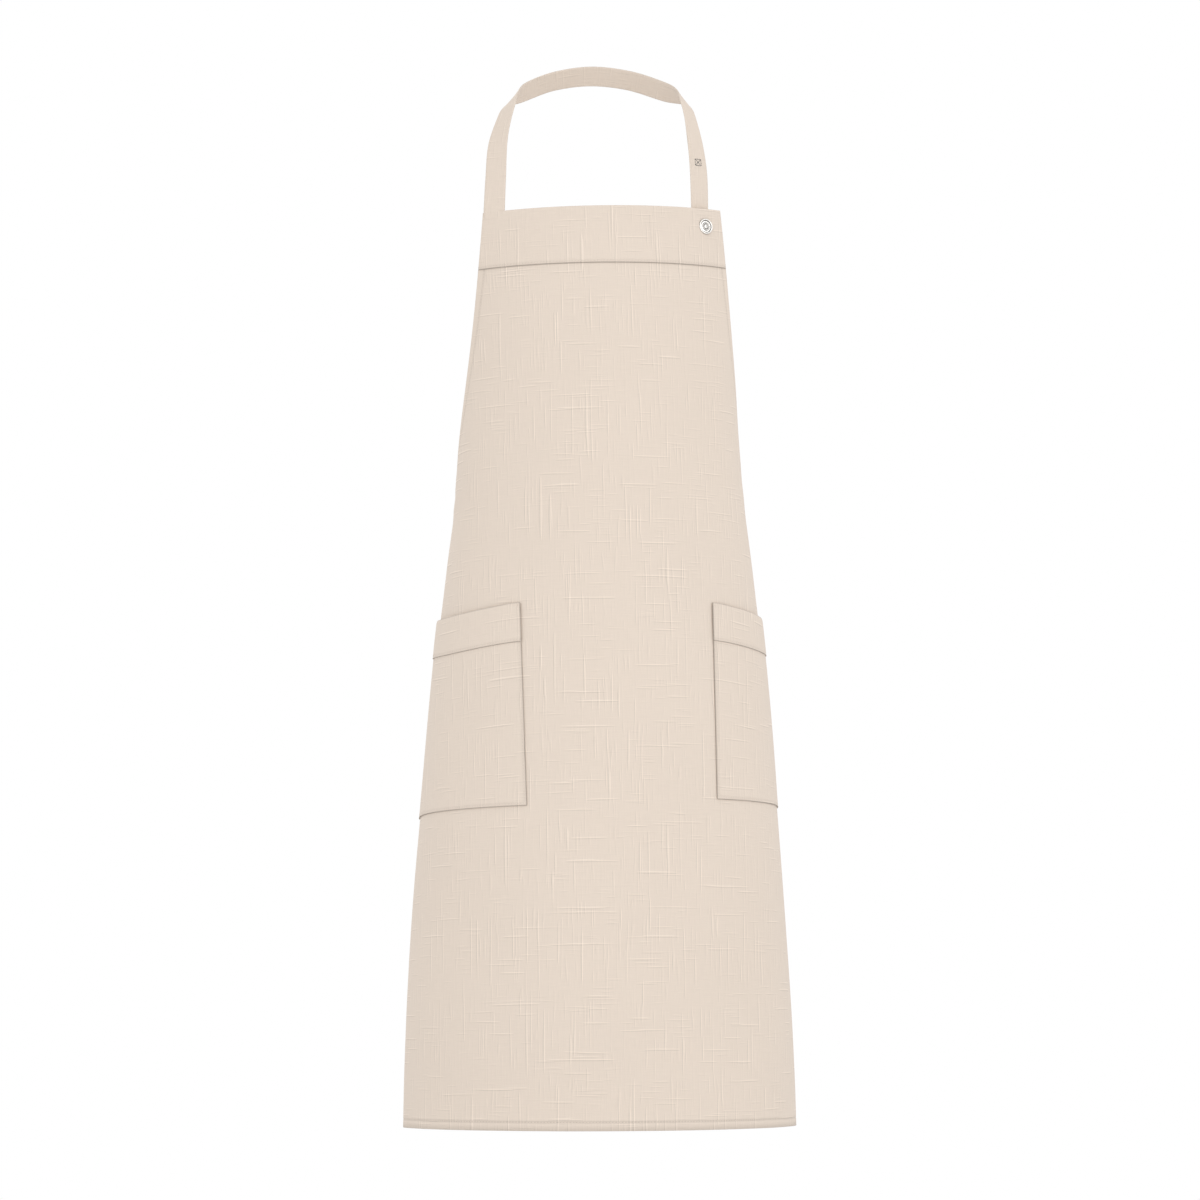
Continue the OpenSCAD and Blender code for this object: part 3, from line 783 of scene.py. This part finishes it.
def make_pocket(name, side, start, lean, bottom, band_depth):
    near_edge = start if side > 0 else -start - POCKET_WIDTH

    def left_edge(h):
        return near_edge + lean * (h - POCKET_TOP) / (bottom - POCKET_TOP)

    def right_edge(h):
        return left_edge(h) + POCKET_WIDTH

    def at_mouth(s, h, power):
        """1 in the middle of the mouth, falling to 0 at the sides and at the pocket's bottom."""
        u = clamp01((s - left_edge(h)) / POCKET_WIDTH)
        v = clamp01((h - POCKET_TOP) / (bottom - POCKET_TOP))
        return math.sin(math.pi * u) ** power * math.cos(math.pi / 2 * v)

    def gape(s, h):
        return POCKET_GAPE * at_mouth(s, h, 0.7)

    def hung(s, h, lift):
        """The cloth of the pocket, whose mouth sags in the middle."""
        return worn(s, h + MOUTH_SAG * at_mouth(s, h, 1.5), lift)

    def from_sides(s, h):
        return min(s - left_edge(h), right_edge(h) - s)

    def from_edge(s, h):
        return min(from_sides(s, h), bottom - h)

    def puff(s, h):
        """The turned-in edges make the pocket's rim a little thicker than its middle."""
        return 0.35 * MM * (1 - smooth(1 * MM, 7 * MM, from_edge(s, h)))

    def dip(s, h):
        return groove(from_edge(s, h) - EDGE_STITCH, 0.32 * MM, 0.7 * MM)

    # Painted shade along the edge stitches and painted shadow at the pocket's edges.
    def shade(s, h):
        stitch = 0.22 * bell(from_edge(s, h) - EDGE_STITCH, 0.9 * MM)
        return min(1.0, stitch + edge_shade(from_edge(s, h)))

    margin = [*in_mm(0, 0.45, 1), EDGE_STITCH, *in_mm(2.7, 4.5, 7)]
    columns = lambda h: fine_edged(left_edge(h), right_edge(h), margin + [11 * MM], 34)

    rows = merged(spaced(POCKET_TOP, bottom - 10 * MM, 5 * MM), [bottom - m for m in margin])
    height = lambda s, h: POCKET_LIFT + gape(s, h) + puff(s, h) / 2
    pocket = cloth_sheet(f"{name}_pocket", rows, columns, height, POCKET_THICK, dip, shade, hung)
    dress(pocket, cloth_mat, "panel", "cloth", f"{name}_pocket")

    band_top, band_foot = POCKET_TOP - 1.0 * MM, POCKET_TOP + band_depth
    band_seam = band_foot - EDGE_STITCH
    on_top = POCKET_LIFT + POCKET_THICK / 2 + 0.1 * MM + CLOTH / 2

    def fold_back(h):
        """The fold along the mouth: the band turns in over the pocket's own edge."""
        return -0.5 * MM * (1 - smooth(0.0, 2.6 * MM, h - band_top)) ** 2

    def band_dips(s, h):
        ends = groove(from_sides(s, h) - EDGE_STITCH, 0.3 * MM, 0.7 * MM)
        return groove(band_seam - h, 0.25 * MM, 0.7 * MM) + ends

    # Painted shade along the band's stitches and painted shadow at its foot, ends and mouth.
    def band_shades(s, h):
        ends = edge_shade(from_sides(s, h) + 0.5 * MM)
        stitch = 0.22 * bell(band_seam - h, 0.9 * MM)
        return min(1.0, stitch + edge_shade(band_foot - h) + ends + 0.7 * edge_shade(h - band_top))

    def band_columns_at(h):
        inner = columns(max(h, POCKET_TOP))
        return [inner[0] - 0.5 * MM] + inner[1:-1] + [inner[-1] + 0.5 * MM]

    def band_height(s, h):
        return on_top + gape(s, h) + puff(s, max(h, POCKET_TOP)) / 2 + fold_back(h)

    band = cloth_sheet(
        f"{name}_pocket_band",
        merged(
            [band_top + down for down in in_mm(0, 0.5, 1.2, 2.2)],
            spaced(band_top + 4 * MM, band_foot - 5 * MM, 5 * MM),
            near(band_seam, (0.6 * MM, 1.2 * MM)), [band_foot],
        ),
        band_columns_at, band_height, CLOTH, band_dips, band_shades, hung,
    )
    dress(band, cloth_mat, "panel", "cloth", f"{name}_pocket_band")

    outer = lambda s, h: height(s, h) + POCKET_THICK / 2 - dip(s, h)
    band_outer = lambda s, h: band_height(s, h) + CLOTH / 2 - band_dips(s, h)
    sides = ((left_edge, 1), (right_edge, -1))
    foot = bottom - EDGE_STITCH
    down = [(left_edge(h) + EDGE_STITCH, h) for h in spaced(band_foot + 1 * MM, foot, 5 * MM)]
    up = [(right_edge(h) - EDGE_STITCH, h) for h in spaced(foot, band_foot + 1 * MM, 5 * MM)]
    along = [(s, foot) for s in spaced(down[-1][0], up[0][0], 5 * MM)[1:-1]]
    across = [
        (s, band_seam)
        for s in spaced(left_edge(band_seam) + 1 * MM, right_edge(band_seam) - 1 * MM, 5 * MM)
    ]
    end_rows = spaced(band_top + 1.5 * MM, band_foot - 3 * MM, 4 * MM)
    ends = [[(edge(h) + sign * EDGE_STITCH, h) for h in end_rows] for edge, sign in sides]
    paths = [seam_path(down + along + up, outer, hung), seam_path(across, band_outer, hung)]
    sew(f"{name}_pocket_stitching", paths + [seam_path(line, band_outer, hung) for line in ends])
    # bar tacks at both ends of the mouth
    tacks = []
    for edge, sign in sides:
        for row in range(3):
            h = band_top + (1.2 + 0.7 * row) * MM
            tacks.append([(edge(h) + sign * x * MM, h) for x in (0.4, 2.5, 5.0, 7.0)])
    sew(f"{name}_pocket_tacks", [seam_path(line, band_outer, hung) for line in tacks], 1.6 * MM)


for pocket_name, pocket_sizes in POCKETS.items():
    make_pocket(pocket_name, *pocket_sizes)

# ---------------- ribbons: strap and ties
def ribbon(name, rings, width, thick, uv_start=0.0, shade=None):
    """A flat strap with rounded edges along rings of (middle, across, out) with unit vectors."""
    rim = [(-0.47, 0.36), (-0.42, 0.5), (-0.36, 0.42), (-0.15, 0.5)]
    upper = rim + [(-x, y) for x, y in reversed(rim)]
    profile = [(-0.5, 0.0)] + upper + [(0.5, 0.0)] + [(-x, -y) for x, y in upper]
    verts, uvs = [], []
    count = len(profile)
    run = uv_start
    last = None
    for mid, across, out in rings:
        if last is not None:
            run += (mid - last).length
        last = mid
        for x, y in profile:
            verts.append(mid + across * (x * width) + out * (y * thick))
            uvs.append((x * width, run))
    faces = tube_faces(0, len(rings), count)
    faces.append(tuple(reversed(range(count))))
    faces.append(tuple((len(rings) - 1) * count + k for k in range(count)))
    painted_shade = [value for value in (shade or [0.0] * len(rings)) for _ in profile]
    return new_object(name, verts, faces, uvs, painted_shade)


IN_RIDGE = 0.43  # how far from a ribbon's middle its stitches lie, as a share of its thickness


def edge_paths(rings, width, thick, inset):
    """Stitch lines along both edges of a ribbon, on its outer and inner faces."""
    out = []
    for face in (1, -1):
        for edge in (-1, 1):
            aside, lift = edge * (width / 2 - inset), face * thick * IN_RIDGE
            out.append([
                (mid + across * aside + normal * lift, normal * face) for mid, across, normal in rings
            ])
    return out


def extended(places):
    """The places with one more before the first and one after the last, in line with them."""
    before = tuple(2 * a - b for a, b in zip(places[0], places[1]))
    after = tuple(2 * a - b for a, b in zip(places[-1], places[-2]))
    return [before] + list(places) + [after]


def spline(points, t):
    """A point of the curve through points, which also holds one point before its start and one after."""
    spans = len(points) - 3
    i = min(int(t * spans), spans - 1)
    u = t * spans - i
    p0, p1, p2, p3 = (np.array(points[i + k], float) for k in range(4))
    m1, m2 = (p2 - p0) / 2, (p3 - p1) / 2
    return (2 * u ** 3 - 3 * u * u + 1) * p1 + (u ** 3 - 2 * u * u + u) * m1 \
        + (3 * u * u - 2 * u ** 3) * p2 + (u ** 3 - u * u) * m2


# Half of the neck loop from the bib to the nape: x, y and z of its middle, heading and tilt of
# its outer face, and how much further in the right leg stands
ROUTE = [
    (108, -22, -4, 26, 5, 10),
    (106, -18, 30, 30, 20, 10),
    (103, -12, 65, 40, 40, 10),
    (94, 0, 95, 65, 50, 5),
    (85, 20, 112, 90, 40, 0),
    (70, 45, 122, 125, 25, 0),
    (38, 60, 135, 160, 35, 0),
    (0, 63, 140, 180, 35, 0),
]
LOOP_SKEW = 0.03  # how much higher the loop's right side stands, per unit of distance from the middle
TAIL_TILT = 9.0
TAIL = [(105, 18, -6.2), (107, 43, -6.2), (109, 68, -6.2), (110, 80, -6.2)]  # s, h and lift, in mm


def ring_at(mid, along, out):
    """A ring of a ribbon that runs along here, with its outer face turned as near to out as can be."""
    out = (out - out.dot(along) * along).normalized()
    return mid, along.cross(out), out


def strap_knots():
    """The whole strap from left to right: the loop, then the tail behind the bib."""
    left = [(-x, y, z - LOOP_SKEW * x, heading, tilt) for x, y, z, heading, tilt, _ in ROUTE]
    right = [
        (x - inward, y, z + LOOP_SKEW * (x - inward), 360 - heading, tilt)
        for x, y, z, heading, tilt, inward in reversed(ROUTE[1:-1])
    ]
    tail = []
    for s, h, lift in TAIL:
        place = (worn(s * MM, h * MM, lift * MM) + BEARING) / MM
        heading = math.degrees(on_section(s * MM, h * MM)[2])
        tail.append((*place, 360 - heading, TAIL_TILT))
    return left + right + tail


STEPS_PER_KNOT = 16


def strap_rings():
    knots = extended(strap_knots())
    last = STEPS_PER_KNOT * (len(knots) - 3)
    samples = [spline(knots, k / last) for k in range(last + 1)]
    rings = []
    for k, v in enumerate(samples):
        nxt, prv = samples[min(k + 1, last)], samples[max(k - 1, 0)]
        along = Vector(nxt[:3] - prv[:3]).normalized()
        heading, tilt = math.radians(v[3]), math.radians(v[4])
        level = Vector((-math.sin(heading), -math.cos(heading), 0))
        face = level * math.cos(tilt) + Vector((0, 0, math.sin(tilt)))
        rings.append(ring_at(Vector(v[:3]) * MM - BEARING, along, face))
    return rings


def on_cloth_rings(places):
    """Rings of a strap that lies on the bib: (s, h, lift) of its middle, in millimetres."""
    rings = []
    spots = [tuple(value * MM for value in place) for place in places]
    for k, (s, h, lift) in enumerate(spots):
        mid = worn(s, h, lift)
        out = (worn(s, h, lift + 1 * MM) - mid).normalized()
        along = (worn(*spots[min(k + 1, len(spots) - 1)]) - worn(*spots[max(k - 1, 0)])).normalized()
        rings.append(ring_at(mid, along, out))
    return rings


def refined(places, count):
    around = extended(places)
    return [tuple(spline(around, k / count)) for k in range(count + 1)]


LEFT_FOOT = [(-115.5, 44, -0.05), (-115.3, 24, -0.05), (-115, 8, -0.05)]  # sewn in between band and facing
bib_top = worn(0, 0)
rings = strap_rings()
split = next(k for k, ring in enumerate(rings) if ring[0].x > 0 and ring[0].z < bib_top.z - 3 * MM)
loop_rings = on_cloth_rings(refined(LEFT_FOOT, 8))
loop_rings += [ring for ring in rings[:split + 1] if ring[0].z > bib_top.z - 4.5 * MM]
tail_rings = rings[split:]


def strap_shade(rings_in):
    """Painted shade: a little darker where the strap runs behind the neck."""
    return [0.04 * smooth(0.0, 0.5, ring[2].y) for ring in rings_in]


def length_of(rings_in):
    return sum((b[0] - a[0]).length for a, b in zip(rings_in, rings_in[1:]))


neck_strap = ribbon("neck_strap", loop_rings, STRAP_WIDTH, STRAP_THICK, shade=strap_shade(loop_rings))
strap_tail = ribbon("strap_tail", tail_rings, STRAP_WIDTH, STRAP_THICK, uv_start=length_of(loop_rings))
STRAP_SEAM_IN = 2.0 * MM
loop_paths = edge_paths(loop_rings, STRAP_WIDTH, STRAP_THICK, STRAP_SEAM_IN)
loop_stitching = stitches("strap_stitching", loop_paths, STRAP_PITCH)
tail_paths = edge_paths(tail_rings, STRAP_WIDTH, STRAP_THICK, STRAP_SEAM_IN)
end_mid, end_across, end_out = tail_rings[-3]
for side in (-1, 1):
    end_seat = end_mid + end_out * (side * STRAP_THICK * IN_RIDGE)
    tail_paths.append([(end_seat + end_across * x * MM, end_out * side) for x in range(-9, 10, 3)])
tail_stitching = stitches("tail_stitching", tail_paths, STRAP_PITCH)

# the strap and its stitches get their materials, and their places are baked into their meshes
for piece, mat in ((neck_strap, strap_mat), (loop_stitching, thread_mat)):
    piece.data.materials.append(mat)
    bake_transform(piece)
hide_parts("neck_strap", "strap_sewn_end")
for piece, mat in ((strap_tail, strap_mat), (tail_stitching, thread_mat)):
    piece.data.materials.append(mat)
    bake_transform(piece)
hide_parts("strap_tail")


# ---------------- press stud
def lathe(name, profile, centre, axis, steps=64):
    """A turned part: profile of (radius, height, painted shade) from the axis out and back, along axis."""
    z = axis.normalized()
    x = z.orthogonal().normalized()
    y = z.cross(x)
    verts, faces = [centre + z * profile[0][1]], []
    for r, height, _ in profile[1:-1]:
        for k in range(steps):
            a = math.tau * k / steps
            verts.append(centre + (x * math.cos(a) + y * math.sin(a)) * r + z * height)
    verts.append(centre + z * profile[-1][1])
    end = 1 + (len(profile) - 3) * steps
    for k in range(steps):
        faces.append((0, 1 + k, 1 + (k + 1) % steps))
        faces.append((len(verts) - 1, end + (k + 1) % steps, end + k))
    faces += tube_faces(1, len(profile) - 2, steps, turned=True)
    turned_dark = np.repeat([point[2] for point in profile[1:-1]], steps)
    dark = [profile[0][2], *turned_dark, profile[-1][2]]
    return new_object(name, verts, faces, painted_shade=dark)


stud_s, stud_h = 105 * MM, 18 * MM
TAIL_LEAN = 0.08  # how far the studs step sideways down the tail, per unit of depth
STUD_PITCH = 25 * MM
socket_lift = facing_lift(stud_s, stud_h) - CLOTH / 2
tail_face = TAIL[0][2] * MM + STRAP_THICK / 2


def stud_frame(down=0.0):
    """A place on the bib and the true normal there, for a stud this far below the first."""
    s, h = stud_s + down * TAIL_LEAN, stud_h + down
    seat = worn(s, h)
    right = worn(s + 1 * MM, h) - worn(s - 1 * MM, h)
    up = worn(s, h - 1 * MM) - worn(s, h + 1 * MM)
    return seat, right.cross(up).normalized()


def scaled_profile(points):
    """A profile in metres from one in millimetres; a third value is how much painted shade darkens that
    place.
    """
    return [(p[0] * MM, p[1] * MM, p[2] if len(p) > 2 else 0.0) for p in points]


R = CAP_D / 2 / MM  # the cap's radius in millimetres
# third values in these profiles: painted shade in the grooves and recesses
cap_profile = scaled_profile([
    (0, 0, 1), (R - 0.5, 0, 1), (R - 0.12, 0.15, 1), (R, 0.45, 0.9), (R - 0.08, 0.9, 0.3), (R - 0.35, 1.35),
    (R - 0.8, 1.65), (R - 1.25, 1.6), (R - 1.6, 1.35, 0.2), (R - 1.85, 0.9, 1), (R - 2.15, 0.62, 1),
    (R - 2.5, 0.55, 0.2), (R - 3.3, 0.57), (R - 3.7, 0.68, 0.5), (R - 3.95, 0.95, 1), (R - 4.2, 1.2, 0.2),
    (R - 4.5, 1.22), (R - 4.8, 1.0, 0.5), (R - 5.1, 0.82, 1), (R - 5.4, 0.9, 0.8), (R - 5.8, 1.2, 0.2),
    (R - 6.5, 1.45), (R - 7.2, 1.53, 0.5), (0, 1.5, 1),
])
socket_profile = scaled_profile([
    (0, 0), (5.3, 0), (5.55, 0.15), (5.6, 0.5), (5.5, 0.8), (5.3, 1.2), (5.1, 1.9), (4.8, 2.5), (4.3, 2.8),
    (3.6, 2.85), (3.15, 2.7, 0.2), (2.92, 2.3, 0.6), (3.0, 1.5, 0.9), (3.05, 0.7, 1), (0, 0.7, 1),
])
stud_profile = scaled_profile([
    (0, 0), (5.0, 0), (5.18, 0.12), (5.2, 0.32), (5.0, 0.5), (4.3, 0.72), (3.2, 0.84, 0.2), (2.5, 0.95, 0.7),
    (2.15, 1.2, 0.9), (2.2, 1.6, 0.5), (2.55, 1.95, 0.1), (2.78, 2.3), (2.7, 2.6), (2.4, 2.85), (1.8, 2.97),
    (1.2, 2.8, 0.2), (0.7, 2.5, 0.6), (0, 2.4, 0.8),
])
post_profile = scaled_profile([
    (0, 0), (5.0, 0), (5.18, 0.1), (5.2, 0.3), (4.9, 0.62), (4.3, 0.85), (3.2, 0.98), (2.2, 1.0),
    (1.7, 0.85, 0.4), (1.3, 0.62, 0.8), (0, 0.6, 0.9),
])

seat, axis = stud_frame()
level = axis.dot(worn(stud_s, stud_h, 1 * MM) - seat) / MM  # height along the axis, per unit of lift
CAP_TURN = 0.27  # how far the soft cloth lets the cap turn to the front, as a share of the whole way
CAP_OFF = 0.4 * MM  # room for that turn between the cap and the cloth
cap_axis = axis.lerp(Vector((0, -1, 0)), CAP_TURN).normalized()
cap_seat = seat + axis * (level * (band_lift(stud_s, stud_h) + CLOTH / 2) + CAP_OFF)
cap = lathe("press_stud_cap", cap_profile, cap_seat, cap_axis)
dress(cap, nickel_mat, "panel", "nickel", "press_stud_cap")
socket = lathe("press_stud_socket", socket_profile, seat + axis * level * socket_lift, -axis)
dress(socket, steel_mat, "panel", "steel", "press_stud_socket")


def joined(name, parts):
    """One object made of several meshes."""
    verts, faces, dark = [], [], []
    for part in parts:
        base = len(verts)
        verts += [v.co.copy() for v in part.data.vertices]
        faces += [tuple(base + i for i in face.vertices) for face in part.data.polygons]
        dark += [value.value for value in part.data.attributes["painted_shade"].data]
        bpy.data.objects.remove(part)
    return new_object(name, verts, faces, painted_shade=dark)


def stud_set(stud_name, post_name, downs):
    studs, posts = [], []
    for k, down in enumerate(downs):
        place, out = stud_frame(down)
        studs.append(lathe(f"{stud_name}_{k}", stud_profile, place + out * level * tail_face, out))
        behind = place + out * (level * tail_face - STRAP_THICK)
        posts.append(lathe(f"{post_name}_{k}", post_profile, behind, -out))
    dress(joined(stud_name, studs), nickel_mat, "strap_end", "nickel", stud_name)
    dress(joined(post_name, posts), steel_mat, "strap_end", "steel", post_name)


stud_set("press_stud", "press_stud_post", [0.0])
stud_set("spare_studs", "spare_stud_posts", [STUD_PITCH, 2 * STUD_PITCH])

# ---------------- plain stitched mark on the right leg
MARK_UP = 49 * MM  # height of the mark above the bib's top edge


def cross_mark():
    """A small generic box of grey stitching on the strap, where the real one has a woven mark."""
    at_z = bib_top.z + MARK_UP
    right_leg = [ring for ring in rings if ring[0].x > 0]
    mid, across, out = min(right_leg, key=lambda ring: abs(ring[0].z - at_z))
    up = out.cross(across)
    if up.z < 0:
        up = -up
    seat = mid + out * (STRAP_THICK / 2 + 0.05 * MM)
    half_wide, half_high = 3.8 * MM, 3.2 * MM
    corners = [
        seat + across * (a * half_wide) + up * (b * half_high)
        for a, b in ((-1, -1), (1, -1), (1, 1), (-1, 1))
    ]
    lines = [(corners[i], corners[k]) for i, k in ((0, 1), (1, 2), (2, 3), (3, 0), (0, 2), (1, 3))]
    paths = [[(a.lerp(b, t), out) for t in (0.0, 0.25, 0.5, 0.75, 1.0)] for a, b in lines]
    return stitches("strap_mark", paths, 1.5 * MM, 0.55 * MM)


mark = cross_mark()
mark.data.materials.append(grey_thread_mat)
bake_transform(mark)

# ---------------- waist ties, bow and tails
SIDES = (("left", -1), ("right", 1))
TIE_SEWN = WAIST_WIDTH / 2 - 22 * MM
knot_lo, knot_hi = (Vector(c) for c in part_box("bow_knot"))
knot_mid = (knot_lo + knot_hi) / 2


def tie_part(name, seam_name, rings, body, seam_rings):
    """One length of a tie: its cloth, the stitches along its edges and its flat size."""
    part = ribbon(name, rings, TIE_WIDTH, TIE_THICK)
    dress(part, strap_mat, body, "tie_cloth", name)
    seams = edge_paths(seam_rings, TIE_WIDTH, TIE_THICK, TIE_SEAM_IN)
    dress(stitches(seam_name, seams, STRAP_PITCH), thread_mat, body, "tie_cloth")
    length_of(rings)


def tie_rings(side):
    """A waist tie, from its sewn end along the worn section to the knot."""
    end = half_round(TIE_DEPTH) - 9 * MM
    rings = []
    for t in spaced(0.0, 1.0, 1 / 40):
        x, y, a = on_section(mix(TIE_SEWN, end, t), TIE_DEPTH)
        out = Vector((side * math.sin(a), -math.cos(a), 0))
        lift = -1.5 * MM - 0.9 * MM * smooth(0.8, 1.0, t)
        mid = Vector((side * x, y, 0)) - Vector((0, BEARING.y, 0)) + out * lift
        mid.z = mix(knot_mid.z + 8 * MM, knot_mid.z, t * t)
        rings.append((mid, Vector((0, 0, 1)) * (1 - 0.35 * smooth(0.82, 1.0, t)), out))
    return rings


for tie_name, side in SIDES:
    tie = tie_rings(side)
    tie_part(
        f"{tie_name}_waist_tie", f"{tie_name}_tie_stitching", tie, "panel", tie,
    )


def swept_rings(points, across_of, count):
    """Rings along a curve through points; across_of(t) gives the strap's width direction."""
    curve = refined(points, count)
    out = []
    for k, p in enumerate(curve):
        ahead, behind = curve[min(k + 1, count)], curve[max(k - 1, 0)]
        along = Vector(np.array(ahead[:3]) - np.array(behind[:3])).normalized()
        wide = across_of(k / count)
        wide = (wide - wide.dot(along) * along).normalized()
        out.append((Vector(p[:3]), wide, along.cross(wide)))
    return out


def pinched(rings, share):
    """The rings with their width drawn in to share(t) of it."""
    last = len(rings) - 1
    return [(mid, wide * share(k / last), out) for k, (mid, wide, out) in enumerate(rings)]


def bow_loop(side):
    """One bow loop: out from the knot along the top, round its end and back below."""
    start = knot_mid + Vector((side * 5 * MM, 2 * MM, 0))
    far = Vector((side * 84 * MM, 6 * MM, -44 * MM))
    # its way as a share of the distance to its far end, and how far back and up from that line, in mm
    way = [(0, 3, 3), (0.3, 9, 12), (0.68, 12, 10), (0.95, 6, 2),
           (0.97, -5, -4), (0.7, -8, -2), (0.32, -5, 1), (0, -2, -2)]
    points = [tuple(start + far * share + Vector((0, back * MM, up * MM))) for share, back, up in way]
    loop = swept_rings(points, lambda t: Vector((side * 0.35, 0.1, 1.0)), 72)
    return pinched(loop, lambda t: 1 - 0.42 * (1 - smooth(0.0, 0.22, min(t, 1 - t))))


for tie_name, side in SIDES:
    loop = bow_loop(side)
    tie_part(
        f"{tie_name}_bow_loop", f"{tie_name}_bow_stitching", loop, "panel", loop,
    )


def knot_wrap():
    """The knot: one turn of tie wound round the crossing, creased along its length."""
    verts, uvs = [], []
    around, along_steps = 40, 20
    rx, ry, rz = 13 * MM, 8.2 * MM, 11.5 * MM
    for i in range(along_steps + 1):
        v = i / along_steps * 2 - 1
        body = (1 - abs(v) ** 3.2) ** 0.42 if abs(v) < 1 else 0.0
        for k in range(around):
            a = math.tau * k / around
            pleat = 1 + 0.05 * math.sin(3 * a + 1.3 * v) + 0.035 * math.sin(9 * v + 2 * math.sin(a))
            x = rx * v * (1 + 0.04 * math.sin(2 * a))
            y = ry * body * math.cos(a) * pleat
            z = rz * body * math.sin(a) * pleat * (1 + 0.12 * v)
            verts.append(knot_mid + Vector((x, y + 0.5 * MM, z)))
            uvs.append((x, a * rz))
    return new_object("bow_knot", verts, tube_faces(0, along_steps + 1, around, turned=True), uvs)


knot = knot_wrap()
dress(knot, strap_mat, "panel", "tie_cloth", "bow_knot")


def tie_tail_rings(name, side, lean):
    """The hanging end of a tie, which starts beside the knot and sways as it drops."""
    lo, hi = (Vector(c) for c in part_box(name))
    top = Vector((side * 9 * MM, (lo.y + hi.y) / 2, knot_mid.z - 7 * MM))
    drop = hi.z - lo.z + 6 * MM
    points = []
    for t in (0.0, 0.12, 0.3, 0.5, 0.7, 0.88, 1.0):
        aside = lean * t + side * 3 * MM * math.sin(5 * t)
        points.append(tuple(top + Vector((aside, 4 * MM * math.sin(math.tau * t), -drop * t))))

    def across(t):
        turn = side * (0.25 + 0.5 * math.sin(2.2 * t))
        return Vector((math.cos(turn), math.sin(turn), 0))

    return pinched(swept_rings(points, across, 70), lambda t: 1 - 0.3 * (1 - smooth(0.0, 0.12, t)))


UNDER_KNOT = 9  # the seams start this many rings down, where they come out from under the knot
TAIL_LEANS = {"left": -20 * MM, "right": 18 * MM}
for tie_name, side in SIDES:
    tail = tie_tail_rings(f"{tie_name}_tie_tail", side, TAIL_LEANS[tie_name])
    tie_part(
        f"{tie_name}_tie_tail", f"{tie_name}_tail_stitching", tail, f"{tie_name}_tail", tail[UNDER_KNOT:],
    )

# the ties are sewn to the panel's corners with a box of stitches that shows outside
boxes = []
for side in (-1, 1):
    lo, hi = TIE_SEWN + 2 * MM, WAIST_WIDTH / 2 - 3 * MM
    top, low = TIE_DEPTH - 9.5 * MM, TIE_DEPTH + 9.5 * MM
    corners = [(lo, top), (hi, top), (hi, low), (lo, low), (lo, top), (hi, low)]
    boxes.append(seam_path([(side * s, h) for s, h in along_corners(corners, 4 * MM)], outside))
dress(stitches("tie_sewing", boxes, STRAP_PITCH), thread_mat, "panel", "tie_cloth")

# ---------------- care label, folded into the side hem
LABEL_TOP = 352 * MM
LABEL_IN = 8 * MM  # how far in from the panel's edge the label starts
LABEL_SIZE = (32 * MM, 38 * MM)
label = cloth_sheet(
    "care_label", spaced(LABEL_TOP, LABEL_TOP + LABEL_SIZE[1], 4 * MM),
    lambda h: spaced(LABEL_IN - panel_edge(h), 40 * MM - panel_edge(h), 4 * MM),
    lambda s, h: -1.6 * MM - 2.2 * MM * smooth(LABEL_IN, 40 * MM, panel_edge(h) + s), 0.4 * MM,
)
dress(label, label_mat, "panel", "label", "care_label")

# ---------------- flat sizes of the cloth pieces
cut_length = LENGTH - PANEL_TOP
AREA_STEPS = 200
cut_middles = [PANEL_TOP + (k + 0.5) * cut_length / AREA_STEPS for k in range(AREA_STEPS)]
cut_area = sum(2 * panel_edge(h) for h in cut_middles) * cut_length / AREA_STEPS
length_of(loop_rings)
length_of(tail_rings)

# ---------------- studio
FLOOR_GAP = 0.14  # how far below the hanging apron the floor lies, in metres


def camera_sees(n, seen, lit, surface):
    """Join two shaders: the camera sees one, and the other lights the scene."""
    by_camera = n.add("ShaderNodeLightPath").outputs["Is Camera Ray"]
    both = n.add("ShaderNodeMixShader", {0: by_camera, 1: lit.outputs[0], 2: seen.outputs[0]})
    n.link(both.outputs[0], surface)


def studio():
    """Pale floor and background, even light from all round and four large soft lamps."""
    scene = bpy.context.scene
    scene.view_settings.view_transform = "Standard"
    scene.view_settings.look = "None"
    world = bpy.data.worlds.new("studio")
    scene.world = world
    world.use_nodes = True
    world.node_tree.nodes.clear()
    n = Nodes(world.node_tree)
    light = n.add("ShaderNodeBackground", {"Color": (1.0, 0.995, 0.99, 1), "Strength": 0.955})
    seen = n.add("ShaderNodeBackground", {"Color": (1, 1, 1, 1)})
    camera_sees(n, seen, light, n.add("ShaderNodeOutputWorld").inputs[0])

    floor_z = cad_box[0][2] - FLOOR_GAP
    reach = 30.0
    corners = [(x * reach, y * reach, floor_z) for x, y in ((-1, -1), (1, -1), (1, 1), (-1, 1))]
    floor = new_object("floor", corners, [(0, 1, 2, 3)])
    mat, n, bsdf = material("floor", (0.74, 0.735, 0.73), 0.9)
    glow = n.add("ShaderNodeEmission", {"Strength": 1.0})
    camera_sees(n, glow, bsdf, n.tree.nodes["Material Output"].inputs["Surface"])
    floor.data.materials.append(mat)

    def area(name, place, size_m, power, aim):
        lamp = bpy.data.lights.new(name, "AREA")
        lamp.shape = "RECTANGLE"
        lamp.size, lamp.size_y = size_m
        lamp.energy = power
        obj = bpy.data.objects.new(name, lamp)
        scene.collection.objects.link(obj)
        obj.location = place
        obj.rotation_mode = "QUATERNION"
        obj.rotation_quaternion = (Vector(aim) - Vector(place)).to_track_quat("-Z", "Y")

    area("key", (2.6, -2.6, 0.8), (1.4, 1.4), 17, (0, 0, -0.5))
    area("fill", (-3.1, -1.9, 0.0), (2.0, 2.2), 12, (0, 0, -0.4))
    area("low", (0.2, -2.6, -0.8), (1.6, 1.0), 6.5, (0, 0, 0.1))
    area("back", (-0.6, 3.4, 1.4), (2.2, 1.6), 16, (0, 0, -0.5))


studio()
